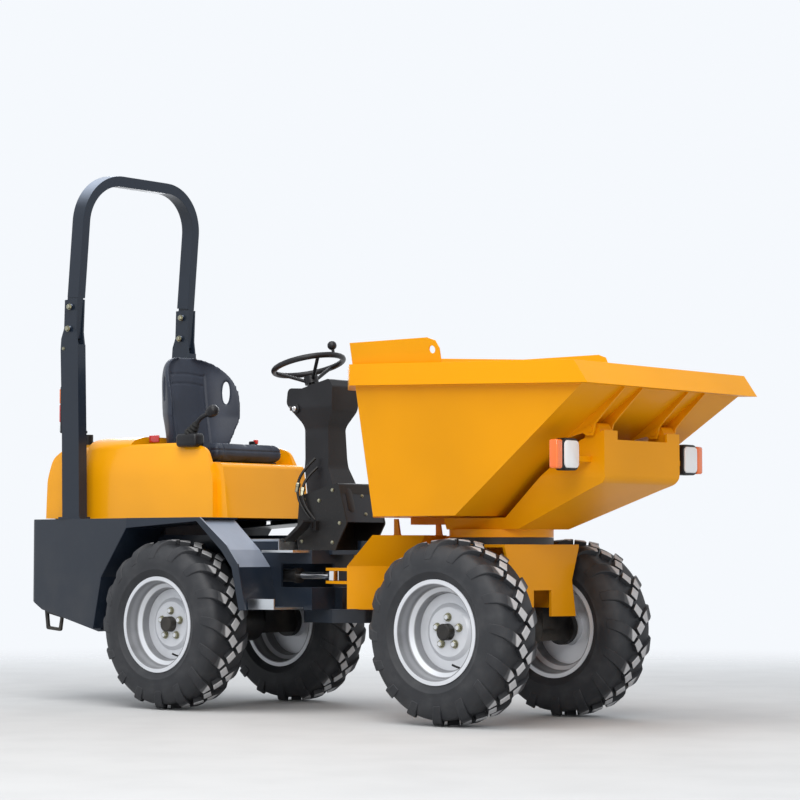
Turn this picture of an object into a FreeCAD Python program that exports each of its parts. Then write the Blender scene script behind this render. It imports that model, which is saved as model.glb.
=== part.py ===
import FreeCAD, Part
import math
import os

# Compact site dumper: +X towards the tip of the skip, +Y to the machine's left, +Z up.
# The origin lies on the ground, in the middle of the machine's bounding box.

SIZES = [
    ("wheelbase", 1615, "rear axle to front axle"),
    ("track", 790, "tyre centre to tyre centre across the machine"),
    ("rear_axle_x", -640, "rear axle from the origin"),
    ("axle_z", 380, "wheel centres above the ground"),
    ("tyre_radius", 380, "over the lugs"),
    ("tyre_width", 261, "section width of the tyre"),
    ("lug_pitches", 16, "lugs on either side of a tyre"),
    ("bead_radius", 194.5, "bead seat of the rim"),
    ("rim_radius", 214, "outside of the rim flange"),
    ("rim_width", 229, "over both rim flanges"),
    ("rim_wall", 6, "thickness of the rolled rim"),
    ("disc_thick", 12, "wheel disc"),
    ("hub_radius", 33, "hub cap"),
    ("hub_length", 32, "hub cap ahead of the hub's face"),
    ("stud_circle", 60, "radius of the circle of wheel nuts"),
    ("stud_radius", 9, "wheel nut"),
    ("stud_length", 16, "wheel nut ahead of the hub's face"),
    ("spindle_radius", 24, "stub the wheel turns on"),
    ("running_gap", 0.05, "radial clearance of pins and spindles"),
    ("pivot_ahead", 807, "articulation pin ahead of the rear axle"),
    ("pivot_radius", 25, "articulation pins"),
    ("slew_behind", 55, "slew axis behind the front axle"),
    ("slew_radius", 220, "slew ring"),
    ("slew_z", 735, "underside of the slew ring"),
    ("tip_ahead", 670, "tip hinge ahead of the slew axis"),
    ("tip_z", 1190, "tip hinge above the ground"),
    ("tip_half", 220, "tip hinges either side of the middle"),
    ("tip_pin", 15, "radius of the tip pins"),
    ("floor_z", 851, "underside of the skip floor"),
    ("skip_plate", 6, "skip plate"),
    ("floor_back", 545, "rear edge of the skip floor behind the slew axis"),
    ("floor_corner", 319, "end of the skip's rear corner behind the slew axis"),
    ("floor_bend", 121, "start of the sloping front ahead of the slew axis"),
    ("floor_half_back", 200, "half width of the floor at its rear edge"),
    ("floor_half", 457, "half width of the skip floor"),
    ("side_lean", 0.183, "outward lean of the sides"),
    ("back_lean", 0.12, "outward lean of the rear wall"),
    ("corner_lean", 0.136, "outward lean of the corner walls"),
    ("slope", 35.3, "degrees of the sloping front"),
    ("lip_ahead", 883, "tip of the lip ahead of the slew axis"),
    ("lip_z", 1361, "tip of the lip above the ground"),
    ("rim_back_z", 1486, "rim above the ground at the rear"),
    ("rim_front_z", 1439, "rim above the ground at the lip"),
    ("band_height", 88, "stiffening band round the rim"),
    ("band_out", 34, "band outside the wall"),
    ("guard_z", 1568, "top of the spill guard"),
    ("guard_end", 131, "front end of the spill guard ahead of the slew axis"),
    ("post_half", 365, "middle of a roll-over post from the middle"),
    ("post_wide", 50, "roll-over post across"),
    ("post_x", -1360, "middle of the lower posts"),
    ("post_z", 857, "foot of the posts"),
    ("fold_x", -1372, "fold bolt of the hoop"),
    ("fold_z", 1756, "fold bolt above the ground"),
    ("lock_rise", 103, "lock bolt above the fold bolt"),
    ("hoop_top", 2506, "top of the hoop"),
    ("hoop_lean", 5, "degrees the hoop leans forward"),
    ("hoop_deep", 76, "hoop tube along the machine"),
    ("hoop_wide", 50, "hoop tube seen from the front"),
    ("hoop_corner", 235, "outer corner radius of the hoop"),
    ("hood_z", 862, "lower edge of the hood"),
    ("hood_clear", 40, "between the hood's side and a roll-over post"),
    ("hood_back", -1642, "tail of the hood"),
    ("hood_split", -1362, "joint between the tail and the seat console"),
    ("hood_front", -435, "front of the seat console"),
    ("hood_top", 1243, "top of the hood"),
    ("hood_skin", 5, "hood panel"),
    ("bonnet_gap", 6, "gap between the tail and the seat console"),
    ("skirt_back", -1662, "rear face of the skirt"),
    ("skirt_skin", 8, "skirt plate"),
    ("deck_z", 711, "top of the foot plate"),
    ("deck_front", 55, "front end of the rear frame"),
    ("rail_half", 240, "outer face of a rear frame rail"),
    ("plate", 12, "frame plate"),
    ("wheel_x", -191, "centre of the steering wheel's rim"),
    ("wheel_z", 1547, "steering wheel rim above the ground"),
    ("wheel_radius", 172, "steering wheel"),
    ("wheel_grip", 13, "radius of the steering wheel's rim section"),
    ("wheel_tilt", 14.3, "degrees the steering wheel leans to the driver"),
    ("wheel_dish", 88, "hub below the rim of the steering wheel"),
    ("ram_y", -185, "steering cylinder from the middle"),
    ("ram_z", 600, "steering cylinder above the ground"),
    ("ram_back", -455, "rear pin of the steering cylinder"),
    ("ram_front", 130, "front pin of the steering cylinder"),
    ("lift_pin_x", 1470, "lower pin of the tip cylinder, in the console's nose"),
    ("lift_pin_z", 985, "lower pin of the tip cylinder above the ground"),
    ("lift_eye_x", 1155, "upper pin of the tip cylinder, under the skip"),
    ("lift_eye_z", 872, "upper pin of the tip cylinder above the ground"),
    ("lift_barrel", 296, "tip cylinder's barrel from its pin"),
    ("lift_rod", 304, "tip cylinder's rod from its eye"),
    ("channel_half", 47, "inner face of a channel flange under the skip, which is the eye's lug too"),
    ("channel_back", 456, "rear end of the channel behind the slew axis"),
    ("channel_high", 30, "depth of the channel under the floor"),
    ("ram_barrel", 388, "steering cylinder's barrel from its pin"),
    ("ram_rod", 391, "steering cylinder's rod from its eye"),
    ("notch_half", 172, "half width of the notch in the console's front plate"),
    ("notch_z", 1150, "bottom of that notch above the ground"),
    ("lift_hole", 16, "radius of the lifting holes"),
    ("guard_hole_ahead", 104, "lifting hole in the spill guard ahead of the slew axis"),
    ("guard_hole_z", 1518, "lifting holes in the spill guard above the ground"),
    ("rear_hole_behind", 652, "lifting hole in the rear plate behind the slew axis"),
    ("rear_hole_z", 1550, "lifting hole in the rear plate above the ground"),
]

doc = FreeCAD.newDocument("SiteDumper")
sheet = doc.addObject("Spreadsheet::Sheet", "d")
for row, (alias, number, note) in enumerate(SIZES, start=1):
    sheet.set("A%d" % row, alias)
    sheet.set("B%d" % row, str(number))
    sheet.set("C%d" % row, note)
    sheet.setAlias("B%d" % row, alias)
doc.recompute()


class Sizes:
    """The sheet's values as plain numbers, for outlines that are worked out here."""


s = Sizes()
for alias, number, note in SIZES:
    setattr(s, alias, float(sheet.get(alias)))

FRONT_AXLE_X = s.rear_axle_x + s.wheelbase
PIVOT_X = s.rear_axle_x + s.pivot_ahead
SLEW_X = FRONT_AXLE_X - s.slew_behind
TIP_X = SLEW_X + s.tip_ahead
SIDES = (("right", -1), ("left", 1))

# How a sketch lies on each plane, and the direction in which it is extruded.
PLANES = {
    "XY": (FreeCAD.Rotation(), FreeCAD.Vector(0, 0, 1)),
    "XZ": (FreeCAD.Rotation(FreeCAD.Vector(1, 0, 0), 90), FreeCAD.Vector(0, 1, 0)),
    "YZ": (FreeCAD.Rotation(FreeCAD.Vector(1, 1, 1), 120), FreeCAD.Vector(1, 0, 0)),
}
AXES = {
    "x": FreeCAD.Rotation(FreeCAD.Vector(0, 1, 0), 90),
    "y": FreeCAD.Rotation(FreeCAD.Vector(1, 0, 0), -90),
    "z": FreeCAD.Rotation(),
}
NODES = []


def bind(thing, prop, value):
    """Sets a property to a number, or ties it to the sheet with an expression."""
    if isinstance(value, str):
        words = value
        for alias in sorted((row[0] for row in SIZES), key=len, reverse=True):
            words = words.replace(alias, "<%d>" % [row[0] for row in SIZES].index(alias))
        for index, row in enumerate(SIZES):
            words = words.replace("<%d>" % index, "d." + row[0])
        thing.setExpression(prop, words)
    else:
        thing.setExpression(prop, repr(float(value)))


def place(thing, at, turn=None):
    thing.Placement = FreeCAD.Placement(FreeCAD.Vector(), turn or FreeCAD.Rotation())
    for letter, value in zip("xyz", at):
        bind(thing, "Placement.Base." + letter, value)


def box(name, middle, size):
    """A block given by the middle of its underside and by its size."""
    solid = doc.addObject("Part::Box", name)
    for prop, value in zip(("Length", "Width", "Height"), size):
        bind(solid, prop, value)
    x, y = ["(%s) - (%s) / 2" % pair for pair in zip(middle[:2], size)]
    place(solid, (x, y, middle[2]))
    return solid


def rod(name, start, axis, radius, length):
    """A round bar from its start along an axis."""
    solid = doc.addObject("Part::Cylinder", name)
    bind(solid, "Radius", radius)
    bind(solid, "Height", length)
    place(solid, start, AXES[axis])
    return solid


def bar(name, start, end, radius):
    """A round bar between two points in any direction."""
    start, end = FreeCAD.Vector(*start), FreeCAD.Vector(*end)
    solid = doc.addObject("Part::Cylinder", name)
    solid.Radius = radius
    solid.Height = (end - start).Length
    solid.Placement = FreeCAD.Placement(start, FreeCAD.Rotation(FreeCAD.Vector(0, 0, 1), end - start))
    return solid


def rounded_edges(points):
    """Lines and arcs through corners (u, v) or (u, v, corner radius)."""
    count = len(points)
    corners = [FreeCAD.Vector(p[0], p[1], 0) for p in points]
    starts, ends, arcs = [], [], []
    for i, point in enumerate(points):
        before = (corners[i - 1] - corners[i]).normalize()
        after = (corners[(i + 1) % count] - corners[i]).normalize()
        radius = point[2] if len(point) > 2 else 0
        half = before.getAngle(after) / 2
        if radius:
            reach = radius / math.tan(half)
            first, last = corners[i] + before * reach, corners[i] + after * reach
            middle = corners[i] + (before + after).normalize() * (radius / math.sin(half) - radius)
            arcs.append(Part.Arc(first, middle, last))
        else:
            first = last = corners[i]
            arcs.append(None)
        starts.append(first)
        ends.append(last)
    edges = []
    for i in range(count):
        if arcs[i]:
            edges.append(arcs[i])
        following = starts[(i + 1) % count]
        if ends[i].distanceToPoint(following) > 1e-6:
            edges.append(Part.LineSegment(ends[i], following))
    return edges


def sketch(name, plane, loops, offset=0):
    drawing = doc.addObject("Sketcher::SketchObject", name + "_outline")
    turn = PLANES[plane][0]
    drawing.Placement = FreeCAD.Placement(PLANES[plane][1] * offset, turn)
    for loop in loops:
        if len(loop) == 3 and not hasattr(loop[0], "__len__"):
            centre = FreeCAD.Vector(loop[0], loop[1], 0)
            drawing.addGeometry(Part.Circle(centre, FreeCAD.Vector(0, 0, 1), loop[2]), False)
        else:
            drawing.addGeometry(rounded_edges(loop), False)
    return drawing


def extrude(name, plane, loops, low, high):
    """A solid from an outline, with holes as further loops, between two offsets along the plane's normal."""
    solid = doc.addObject("Part::Extrusion", name)
    solid.Base = sketch(name, plane, loops, low)
    solid.DirMode = "Custom"
    solid.Dir = PLANES[plane][1]
    solid.LengthFwd = high - low
    solid.Solid = True
    return solid


def revolve(name, plane, loop, centre, axis):
    """A turned solid from a half section."""
    solid = doc.addObject("Part::Revolution", name)
    solid.Source = sketch(name, plane, [loop])
    solid.Base = FreeCAD.Vector(*centre)
    solid.Axis = FreeCAD.Vector(*axis)
    solid.Angle = 360
    solid.Solid = True
    return solid


def fuse(name, parts):
    if len(parts) == 1:
        return parts[0]
    solid = doc.addObject("Part::MultiFuse", name)
    solid.Shapes = parts
    return solid


def common(name, parts):
    solid = doc.addObject("Part::MultiCommon", name)
    solid.Shapes = parts
    return solid


def cut(name, base, tools):
    solid = doc.addObject("Part::Cut", name)
    solid.Base = base
    solid.Tool = fuse(name + "_tools", tools)
    return solid


def compound(name, parts):
    """Like pieces that do not touch, kept as one sub-part."""
    group = doc.addObject("Part::Compound", name)
    group.Links = parts
    return group


def node(label, thing):
    thing.Label = label
    NODES.append(thing)
    return thing


def turned(thing, centre, axis, degrees):
    """Turns a finished piece about an axis through a point."""
    swing = FreeCAD.Placement(
        FreeCAD.Vector(), FreeCAD.Rotation(FreeCAD.Vector(*axis), degrees), FreeCAD.Vector(*centre))
    thing.Placement = swing * thing.Placement
    return thing


# Wheels

# The carcass is a ring of flat sides, one for each lug, whose flats stay clear of the round rim.
CARCASS_SIDES = int(s.lug_pitches)
PITCH = 2 * math.pi * s.tyre_radius / CARCASS_SIDES
FLAT = math.cos(math.pi / CARCASS_SIDES)
RIM_SEAT = s.rim_width / 2 - s.rim_wall
BEAD = s.bead_radius + s.rim_wall / 2
# Half section of the carcass: across from the middle, and out from the axle.
CARCASS = [(RIM_SEAT, (BEAD + 0.2) / FLAT), (RIM_SEAT, (s.rim_radius + 0.4) / FLAT), (s.tyre_width / 2, 286),
           (98, s.tyre_radius - 32)]

# A lug's stations from the middle of the tread to the side wall. Columns: across from the middle and round
# the tread for its leading edge, the same for its trailing edge, then the radius and the depth of its foot.
LUG = [
    (-30, 0, 0, -35, 379.6, 56),
    (102, 96, 102, 52, 374.0, 56),
    (127, 118, 127, 80, 283.0, 24),
]
LUG_INSET = (0, 10, 22)


def polyhedron(corners, quads):
    """A solid with flat faces. Each face of four corners is split in two, so that it stays flat."""
    faces = []
    for a, b, c, d in quads:
        for triangle in ((a, b, c), (a, c, d)):
            points = [corners[i] for i in triangle]
            faces.append(Part.Face(Part.makePolygon(points + points[:1])))
    solid = Part.makeSolid(Part.makeShell(faces))
    return solid if solid.Volume > 0 else solid.reversed()


def on_wheel(across, round_tread, radius):
    angle = round_tread / s.tyre_radius
    return FreeCAD.Vector(radius * math.sin(angle), across, radius * math.cos(angle))


def carcass():
    """The tyre without its lugs, as a ring with flat sides."""
    section = CARCASS + [(-y, r) for y, r in reversed(CARCASS)]
    rows = len(section)
    corners = []
    for step in range(CARCASS_SIDES):
        for y, r in section:
            corners.append(on_wheel(y, step * PITCH, r))
    quads = []
    for step in range(CARCASS_SIDES):
        here, following = step * rows, (step + 1) % CARCASS_SIDES * rows
        for i in range(rows):
            j = (i + 1) % rows
            quads.append((here + i, here + j, following + j, following + i))
    return polyhedron(corners, quads)


def lug(side, start):
    """One bar of the tread, which starts past the middle and runs out and back to the side wall."""
    corners = []
    for (lead_y, lead_u, trail_y, trail_u, radius, depth), inset in zip(LUG, LUG_INSET):
        for y, u in ((lead_y, lead_u), (trail_y, trail_u)):
            corners.append(on_wheel(side * y, start - u, radius))
            corners.append(on_wheel(side * (y - inset), start - u, radius - depth))
    quads = [(0, 2, 3, 1), (8, 9, 11, 10)]
    for first in (0, 4):
        second = first + 4
        quads += [(first, second, second + 2, first + 2), (first + 1, first + 3, second + 3, second + 1),
                  (first, first + 1, second + 1, second), (first + 2, second + 2, second + 3, first + 3)]
    return polyhedron(corners, quads)


def treaded_tyre():
    """A tyre about its own centre, with lugs from either side that mesh at the middle."""
    lugs = []
    for side, start in ((1, 0), (-1, PITCH / 2)):
        for count in range(CARCASS_SIDES):
            lugs.append(lug(side, start + count * PITCH))
    return carcass().fuse(lugs).removeSplitter()


TYRE = treaded_tyre()
HUB_FACE = 24
HUB_BACK = 30
STUDS = 5


def wheel(name, axle_x, side):
    """A tyre and its deep-dished rim, turned about the axle."""
    middle = side * s.track / 2
    tyre = doc.addObject("Part::Feature", name + "_tyre_body")
    tyre.Shape = TYRE
    place(tyre, (axle_x, middle, "axle_z"))

    def section(points):
        return [(middle + side * y, s.axle_z + r) + tuple(rest) for y, r, *rest in points]

    well = s.bead_radius - 28
    flange = s.rim_width / 2
    bore = s.spindle_radius + s.running_gap
    rolled = revolve(name + "_rim_body", "YZ", section([
        (flange, s.rim_radius), (flange, s.rim_radius - 20), (60, s.bead_radius - 8), (44, well - 6),
        (s.disc_thick, well - 8), (s.disc_thick, 118), (HUB_FACE, 100), (HUB_FACE, bore),
        (-HUB_BACK, bore), (-HUB_BACK, 76), (0, 76), (0, well - 8), (-44, well - 6),
        (-60, s.bead_radius - 8), (-flange, s.rim_radius - 20), (-flange, s.rim_radius),
        (-RIM_SEAT, s.rim_radius), (-RIM_SEAT, BEAD), (-56, BEAD), (-38, well), (38, well), (56, BEAD),
        (RIM_SEAT, BEAD), (RIM_SEAT, s.rim_radius),
    ]), (0, middle, s.axle_z), (0, 1, 0))
    rolled.Placement.Base.x = axle_x
    face = middle + side * HUB_FACE
    cap = rod(name + "_cap", (axle_x, face if side > 0 else face - s.hub_length, "axle_z"), "y",
              "hub_radius", "hub_length")
    pieces = [rolled, cap]
    for count in range(STUDS):
        angle = math.radians(90 + 360 / STUDS * count)
        nut_at = (axle_x + s.stud_circle * math.cos(angle), face if side > 0 else face - s.stud_length,
                  s.axle_z + s.stud_circle * math.sin(angle))
        pieces.append(rod("%s_nut_%d" % (name, count), nut_at, "y", "stud_radius", "stud_length"))
    node(name + "_tyre", tyre)
    node(name + "_rim", fuse(name + "_rim_parts", pieces))


for end, axle_x in (("rear", s.rear_axle_x), ("front", FRONT_AXLE_X)):
    for side_name, side in SIDES:
        wheel("%s_%s" % (end, side_name), axle_x, side)


# Axles

HUB_DEPTH = 33
HUB_FLANGE = 30
STUB_LENGTH = 55
BEAM = 104
CASE_HALF = 95
PAD_Z = 470


def axle(name, axle_x):
    """A drive axle: beam, drive case in the middle, hub flanges and the stubs that the wheels turn on."""
    reach = s.track / 2 - HUB_DEPTH
    pieces = [box(name + "_beam", (axle_x, 0, s.axle_z - BEAM / 2), (BEAM, 2 * reach, BEAM)),
              rod(name + "_case", (axle_x, -CASE_HALF, "axle_z"), "y", 88, 2 * CASE_HALF)]
    for side_name, side in SIDES:
        stub_at = min(side * reach, side * (reach + STUB_LENGTH))
        flange_at = min(side * (reach - HUB_FLANGE), side * reach)
        pieces += [
            rod("%s_stub_%s" % (name, side_name), (axle_x, stub_at, "axle_z"), "y", "spindle_radius",
                STUB_LENGTH),
            rod("%s_flange_%s" % (name, side_name), (axle_x, flange_at, "axle_z"), "y", 74, HUB_FLANGE),
            box("%s_pad_%s" % (name, side_name), (axle_x, side * 170, "axle_z"),
                (150, 110, PAD_Z - s.axle_z))]
    return node(name, fuse(name + "_parts", pieces))


axle("rear_axle", s.rear_axle_x)
axle("front_axle", FRONT_AXLE_X)

# Rear chassis

RAIL_BACK = s.skirt_back + s.skirt_skin
SHEET_LOW = 750
SHEET_FRONT = -146
RISE_X = SHEET_FRONT - 6
RAIL_LOW = 450
DECK_LOW = s.deck_z - 11
LUG_REACH = 45
pieces = []
for side_name, side in SIDES:
    middle = side * (s.rail_half - s.plate / 2)
    pieces.append(extrude("rail_" + side_name, "XZ", [[
        (RAIL_BACK, 520), (RAIL_BACK, 700), (-960, 700), (-900, 780), (-420, 780), (-389, SHEET_LOW),
        (RISE_X, SHEET_LOW), (RISE_X, DECK_LOW), (s.deck_front, DECK_LOW), (s.deck_front, RAIL_LOW),
        (-360, RAIL_LOW), (-420, PAD_Z), (-860, PAD_Z), (-940, RAIL_LOW), (-1480, RAIL_LOW),
    ]], middle - s.plate / 2, middle + s.plate / 2))
pieces.append(box("front_bulkhead", (s.deck_front - s.plate / 2, 0, RAIL_LOW),
    ("plate", "2 * rail_half", s.deck_z - RAIL_LOW)))
pieces.append(box("rear_bulkhead", (RAIL_BACK + s.plate / 2, 0, 520), ("plate", "2 * rail_half", 180)))
for at_x in (-1400, -960):
    pieces.append(box("engine_bearer_%d" % -at_x, (at_x, 0, PAD_Z - s.plate),
        (60, "2 * rail_half - plate", "plate")))
pieces.append(box("axle_bridge", ("rear_axle_x", 0, PAD_Z), (420, "2 * rail_half", "plate")))
for z_name, back, low, high in (("upper", s.deck_front - 2, 692, s.deck_z),
    ("lower", s.deck_front - 150, 392, 452)):
    pieces.append(extrude("pivot_%s_lug" % z_name, "XY", [[
        (back, -130), (s.deck_front + 20, -130), (PIVOT_X + LUG_REACH, -LUG_REACH, 40),
        (PIVOT_X + LUG_REACH, LUG_REACH, 40), (s.deck_front + 20, 130), (back, 130),
    ]], low, high))
pieces.append(rod("pivot_upper_boss", (PIVOT_X, 0, 692), "z", LUG_REACH - 1, 60))
pieces.append(rod("pivot_upper_pin", (PIVOT_X, 0, 646), "z", "pivot_radius", 60))
pieces.append(rod("pivot_lower_pin", (PIVOT_X, 0, 440), "z", "pivot_radius", 60))
bearing = box("pivot_bearing", (s.deck_front + 22, 0, 398), (44, 180, 150))
pieces.append(bearing)
pieces.append(box("lug_web", (s.deck_front - 75, 0, 440), (150, 12, 20)))
for z_name, low in (("upper", s.ram_z + 38), ("lower", s.ram_z - 52)):
    pieces.append(extrude("ram_lug_" + z_name, "XY", [[
        (s.ram_back - 60, s.plate - s.rail_half), (s.ram_back - 34, s.ram_y + 30, 12),
        (s.ram_back + 34, s.ram_y + 30, 12), (s.ram_back + 60, s.plate - s.rail_half)]], low, low + 14))
pieces.append(rod("ram_back_pin", (s.ram_back, s.ram_y, s.ram_z - 44), "z", 14, 88))
windows = []
for side_name, side in SIDES:
    windows.append(box("steer_window_" + side_name, (-30, side * 180, s.ram_z - 52), (200, 170, 104)))
node("rear_frame", cut("rear_frame_cut", fuse("rear_frame_parts", pieces), windows))

# The foot plate over the front of the rear frame, and the steps at its sides
DECK_END = s.deck_front - s.plate
node("foot_plate", fuse("foot_plate_parts", [
    box("deck_sheet", ((DECK_END + SHEET_FRONT) / 2, 0, DECK_LOW), (DECK_END - SHEET_FRONT, 700, 11)),
    extrude("deck_rise", "XZ", [[
        (-389, SHEET_LOW), (-389, SHEET_LOW + 11), (SHEET_FRONT, SHEET_LOW + 11), (SHEET_FRONT, DECK_LOW),
        (RISE_X, DECK_LOW), (RISE_X, SHEET_LOW)]], 2 - s.rail_half, s.rail_half - 2)]))
STEP_HALF = 430
STEP_LOW, STEP_HIGH = 454, 500
STEP_SHEET = 8
pieces = []
for side_name, side in SIDES:
    inner, outer, edge = side * s.rail_half, side * STEP_HALF, side * (STEP_HALF - STEP_SHEET)
    pieces.append(extrude("step_" + side_name, "YZ", [[
        (inner, STEP_LOW), (outer, STEP_LOW), (outer, STEP_HIGH), (edge, STEP_HIGH),
        (edge, STEP_LOW + STEP_SHEET), (inner, STEP_LOW + STEP_SHEET)]], -148, 5))
node("steps", compound("step_pair", pieces))

# Skirt: the box of plates round the tail, open at its front

SKIRT_TOP = 857
outer = extrude("skirt_plan", "XY", [[
    (s.skirt_back, -366, 40), (-878, -446), (-878, 446), (s.skirt_back, 366, 40)]], 300, SKIRT_TOP)
side_cut = extrude("skirt_side", "XZ", [[
    (s.skirt_back - 1, 478), (-1568, 430), (-1120, 336), (-1104, 345), (-1052, 592), (-882, 820),
    (-878, SKIRT_TOP), (s.skirt_back + 22, SKIRT_TOP), (s.skirt_back - 1, 817)]], -500, 500)
inner = extrude("skirt_inside_plan", "XY", [[
    (s.skirt_back + s.skirt_skin, -358, 32), (-800, -446), (-800, 446),
    (s.skirt_back + s.skirt_skin, 358, 32)]], 300, SKIRT_TOP - s.skirt_skin)
inner_side = extrude("skirt_inside_side", "XZ", [[
    (s.skirt_back + s.skirt_skin, 486), (-1566, 439), (-1116, 345), (-800, 345),
    (-800, SKIRT_TOP - s.skirt_skin), (s.skirt_back + 26, SKIRT_TOP - s.skirt_skin),
    (s.skirt_back + s.skirt_skin, 817)]], -500, 500)
engine_hole = box("skirt_top_hole", (-1250, 0, 700), (740, 540, 300))
skirt_block = common("skirt_outer", [outer, side_cut])
skirt = cut("skirt_shell", skirt_block,
            [common("skirt_inner", [inner, inner_side]), engine_hole])
node("rear_skirt", skirt)

# Mudguards over the rear wheels

def fold(name, line, skin, low, high):
    """A folded plate that follows a line in side view."""
    points = [FreeCAD.Vector(x, z, 0) for x, z in line]
    normals = []
    for i in range(len(points)):
        back = points[i] - points[max(i - 1, 0)]
        ahead = points[min(i + 1, len(points) - 1)] - points[i]
        if back.Length < 1e-9:
            back = ahead
        if ahead.Length < 1e-9:
            ahead = back
        back.normalize()
        ahead.normalize()
        mean = (back + ahead).normalize()
        stretch = 1 / math.sqrt((1 + back.dot(ahead)) / 2)
        normals.append(FreeCAD.Vector(-mean.y, mean.x, 0) * (skin * stretch))
    outer_line = [(p + n) for p, n in zip(points, normals)]
    loop = [(p.x, p.y) for p in points] + [(p.x, p.y) for p in reversed(outer_line)]
    return extrude(name, "XZ", [loop], low, high)


ARCH_HALF = 478
ARCH_SKIN = 8
ARCH = [(-1094, 351), (-1042, 588), (-876, 812), (-424, 840), (-266, 708), (-203, 634), (-158, 449)]
pieces = []
for side_name, side in SIDES:
    low, high = sorted((side * s.rail_half, side * ARCH_HALF))
    pieces.append(fold("arch_" + side_name, ARCH, 7, low, high))
    low, high = sorted((side * (ARCH_HALF - ARCH_SKIN), side * ARCH_HALF))
    pieces.append(extrude("arch_brow_" + side_name, "XZ", [[
        *ARCH[2:], (-118, 452), (-166, 652), (-236, 734), (-402, SKIRT_TOP), (-878, SKIRT_TOP)]], low, high))
    pieces.append(box("arch_shelf_" + side_name, (
        -640, side * (s.rail_half + ARCH_HALF) / 2, SKIRT_TOP - ARCH_SKIN),
        (476, ARCH_HALF - s.rail_half, ARCH_SKIN)))
node("rear_mudguards", compound("mudguard_pair", [
    fuse("mudguard_right", pieces[:3]), fuse("mudguard_left", pieces[3:])]))

# Engine and hydraulic pump as one block, carried between the rails
node("engine_block", box("engine", (-1180, 0, 470), (560, 420, 560)))

# Hood: the seat console in front and the tail that opens behind the posts

HOOD_HALF = s.post_half - s.post_wide / 2 - s.hood_clear


def hood_section(grow, low=SKIRT_TOP):
    """Cross section of the hood, taken in by the skin's thickness where wanted."""
    half = HOOD_HALF - grow
    top = s.hood_top - grow
    return [(-half, low), (6 - half, 1090, 500), (34 - half, top - 26, 60), (120 - half, top, 260),
            (half - 120, top, 260), (half - 34, top - 26, 60), (half - 6, 1090, 500), (half, low)]


def console_side(grow, low=SKIRT_TOP):
    """Side view of the seat console."""
    return [(s.hood_split, low), (s.hood_split, s.hood_top + 1 - grow), (-985, s.hood_top + 1 - grow, 400),
            (-690, 1207 - grow, 300), (-560 - grow, 1172 - grow, 60), (-505 - grow, 1040, 200),
            (-500 - grow, low)]


NOSE_HALF = 268
console_outer = common("console_outer", [
    extrude("console_profile", "XZ", [console_side(0)], -400, 400),
    extrude("console_section", "YZ", [hood_section(0)], s.hood_split, s.hood_front)])
console_inner = common("console_inner", [
    extrude("console_profile_in", "XZ", [console_side(s.hood_skin, SKIRT_TOP - 2)], -400, 400),
    extrude("console_section_in", "YZ", [hood_section(s.hood_skin, SKIRT_TOP - 2)], s.hood_split - 5,
        s.hood_front)])
nose_outer = extrude("nose_outer", "XZ", [[
    (-620, SKIRT_TOP), (-620, 1104), (-470, 1104, 24), (s.hood_front - 20, 1010, 60),
    (s.hood_front, SKIRT_TOP)]], -NOSE_HALF, NOSE_HALF)
nose_inner = extrude("nose_inner", "XZ", [[
    (-700, SKIRT_TOP - 2), (-700, 1098), (-474, 1098, 20), (s.hood_front - 26, 1009, 55),
    (s.hood_front - 6, SKIRT_TOP - 2)]], 6 - NOSE_HALF, NOSE_HALF - 6)
SEAT_WELL_Z = 1110
SEAT_WELL_BACK = -1075
well_outer = box("seat_well", ((SEAT_WELL_BACK - 430) / 2, 0, SEAT_WELL_Z), (-430 - SEAT_WELL_BACK, 530, 300))
well_floor = box("seat_well_floor", ((SEAT_WELL_BACK - 500) / 2 - 3, 0, SEAT_WELL_Z - 6),
                 (-500 - SEAT_WELL_BACK + 6, 542, 140))
shell = cut("console_shell", fuse("console_body", [console_outer, nose_outer]), [console_inner, nose_inner])
tray = common("console_tray", [well_floor, console_outer, extrude("tray_profile", "XZ", [console_side(2)],
    -400, 400)])
console = cut("seat_console_cut", fuse("console_tray_joined", [shell, tray]), [well_outer])
node("seat_console", console)

TAIL_TOP = s.hood_top - 21
TAIL = [(s.hood_back, s.hood_z), (s.hood_back + 3, 1045, 60), (s.hood_back + 20, 1150, 60),
        (-1545, 1212, 90), (s.hood_split - s.bonnet_gap, TAIL_TOP), (s.hood_split - s.bonnet_gap, s.hood_z)]
TAIL_IN = [(s.hood_back + 5, s.hood_z - 2), (s.hood_back + 8, 1044, 55), (s.hood_back + 25, 1147, 55),
           (-1543, 1207, 85), (s.hood_split + 5, TAIL_TOP - 5), (s.hood_split + 5, s.hood_z - 2)]
TAIL_HALF = HOOD_HALF - 10


def tail_section(grow):
    half = TAIL_HALF - grow
    top = TAIL_TOP - grow
    return [(-half, s.hood_z - 3), (6 - half, 1085, 500), (40 - half, top - 30, 60), (120 - half, top, 260),
            (half - 120, top, 260), (half - 40, top - 30, 60), (half - 6, 1085, 500), (half, s.hood_z - 3)]


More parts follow.
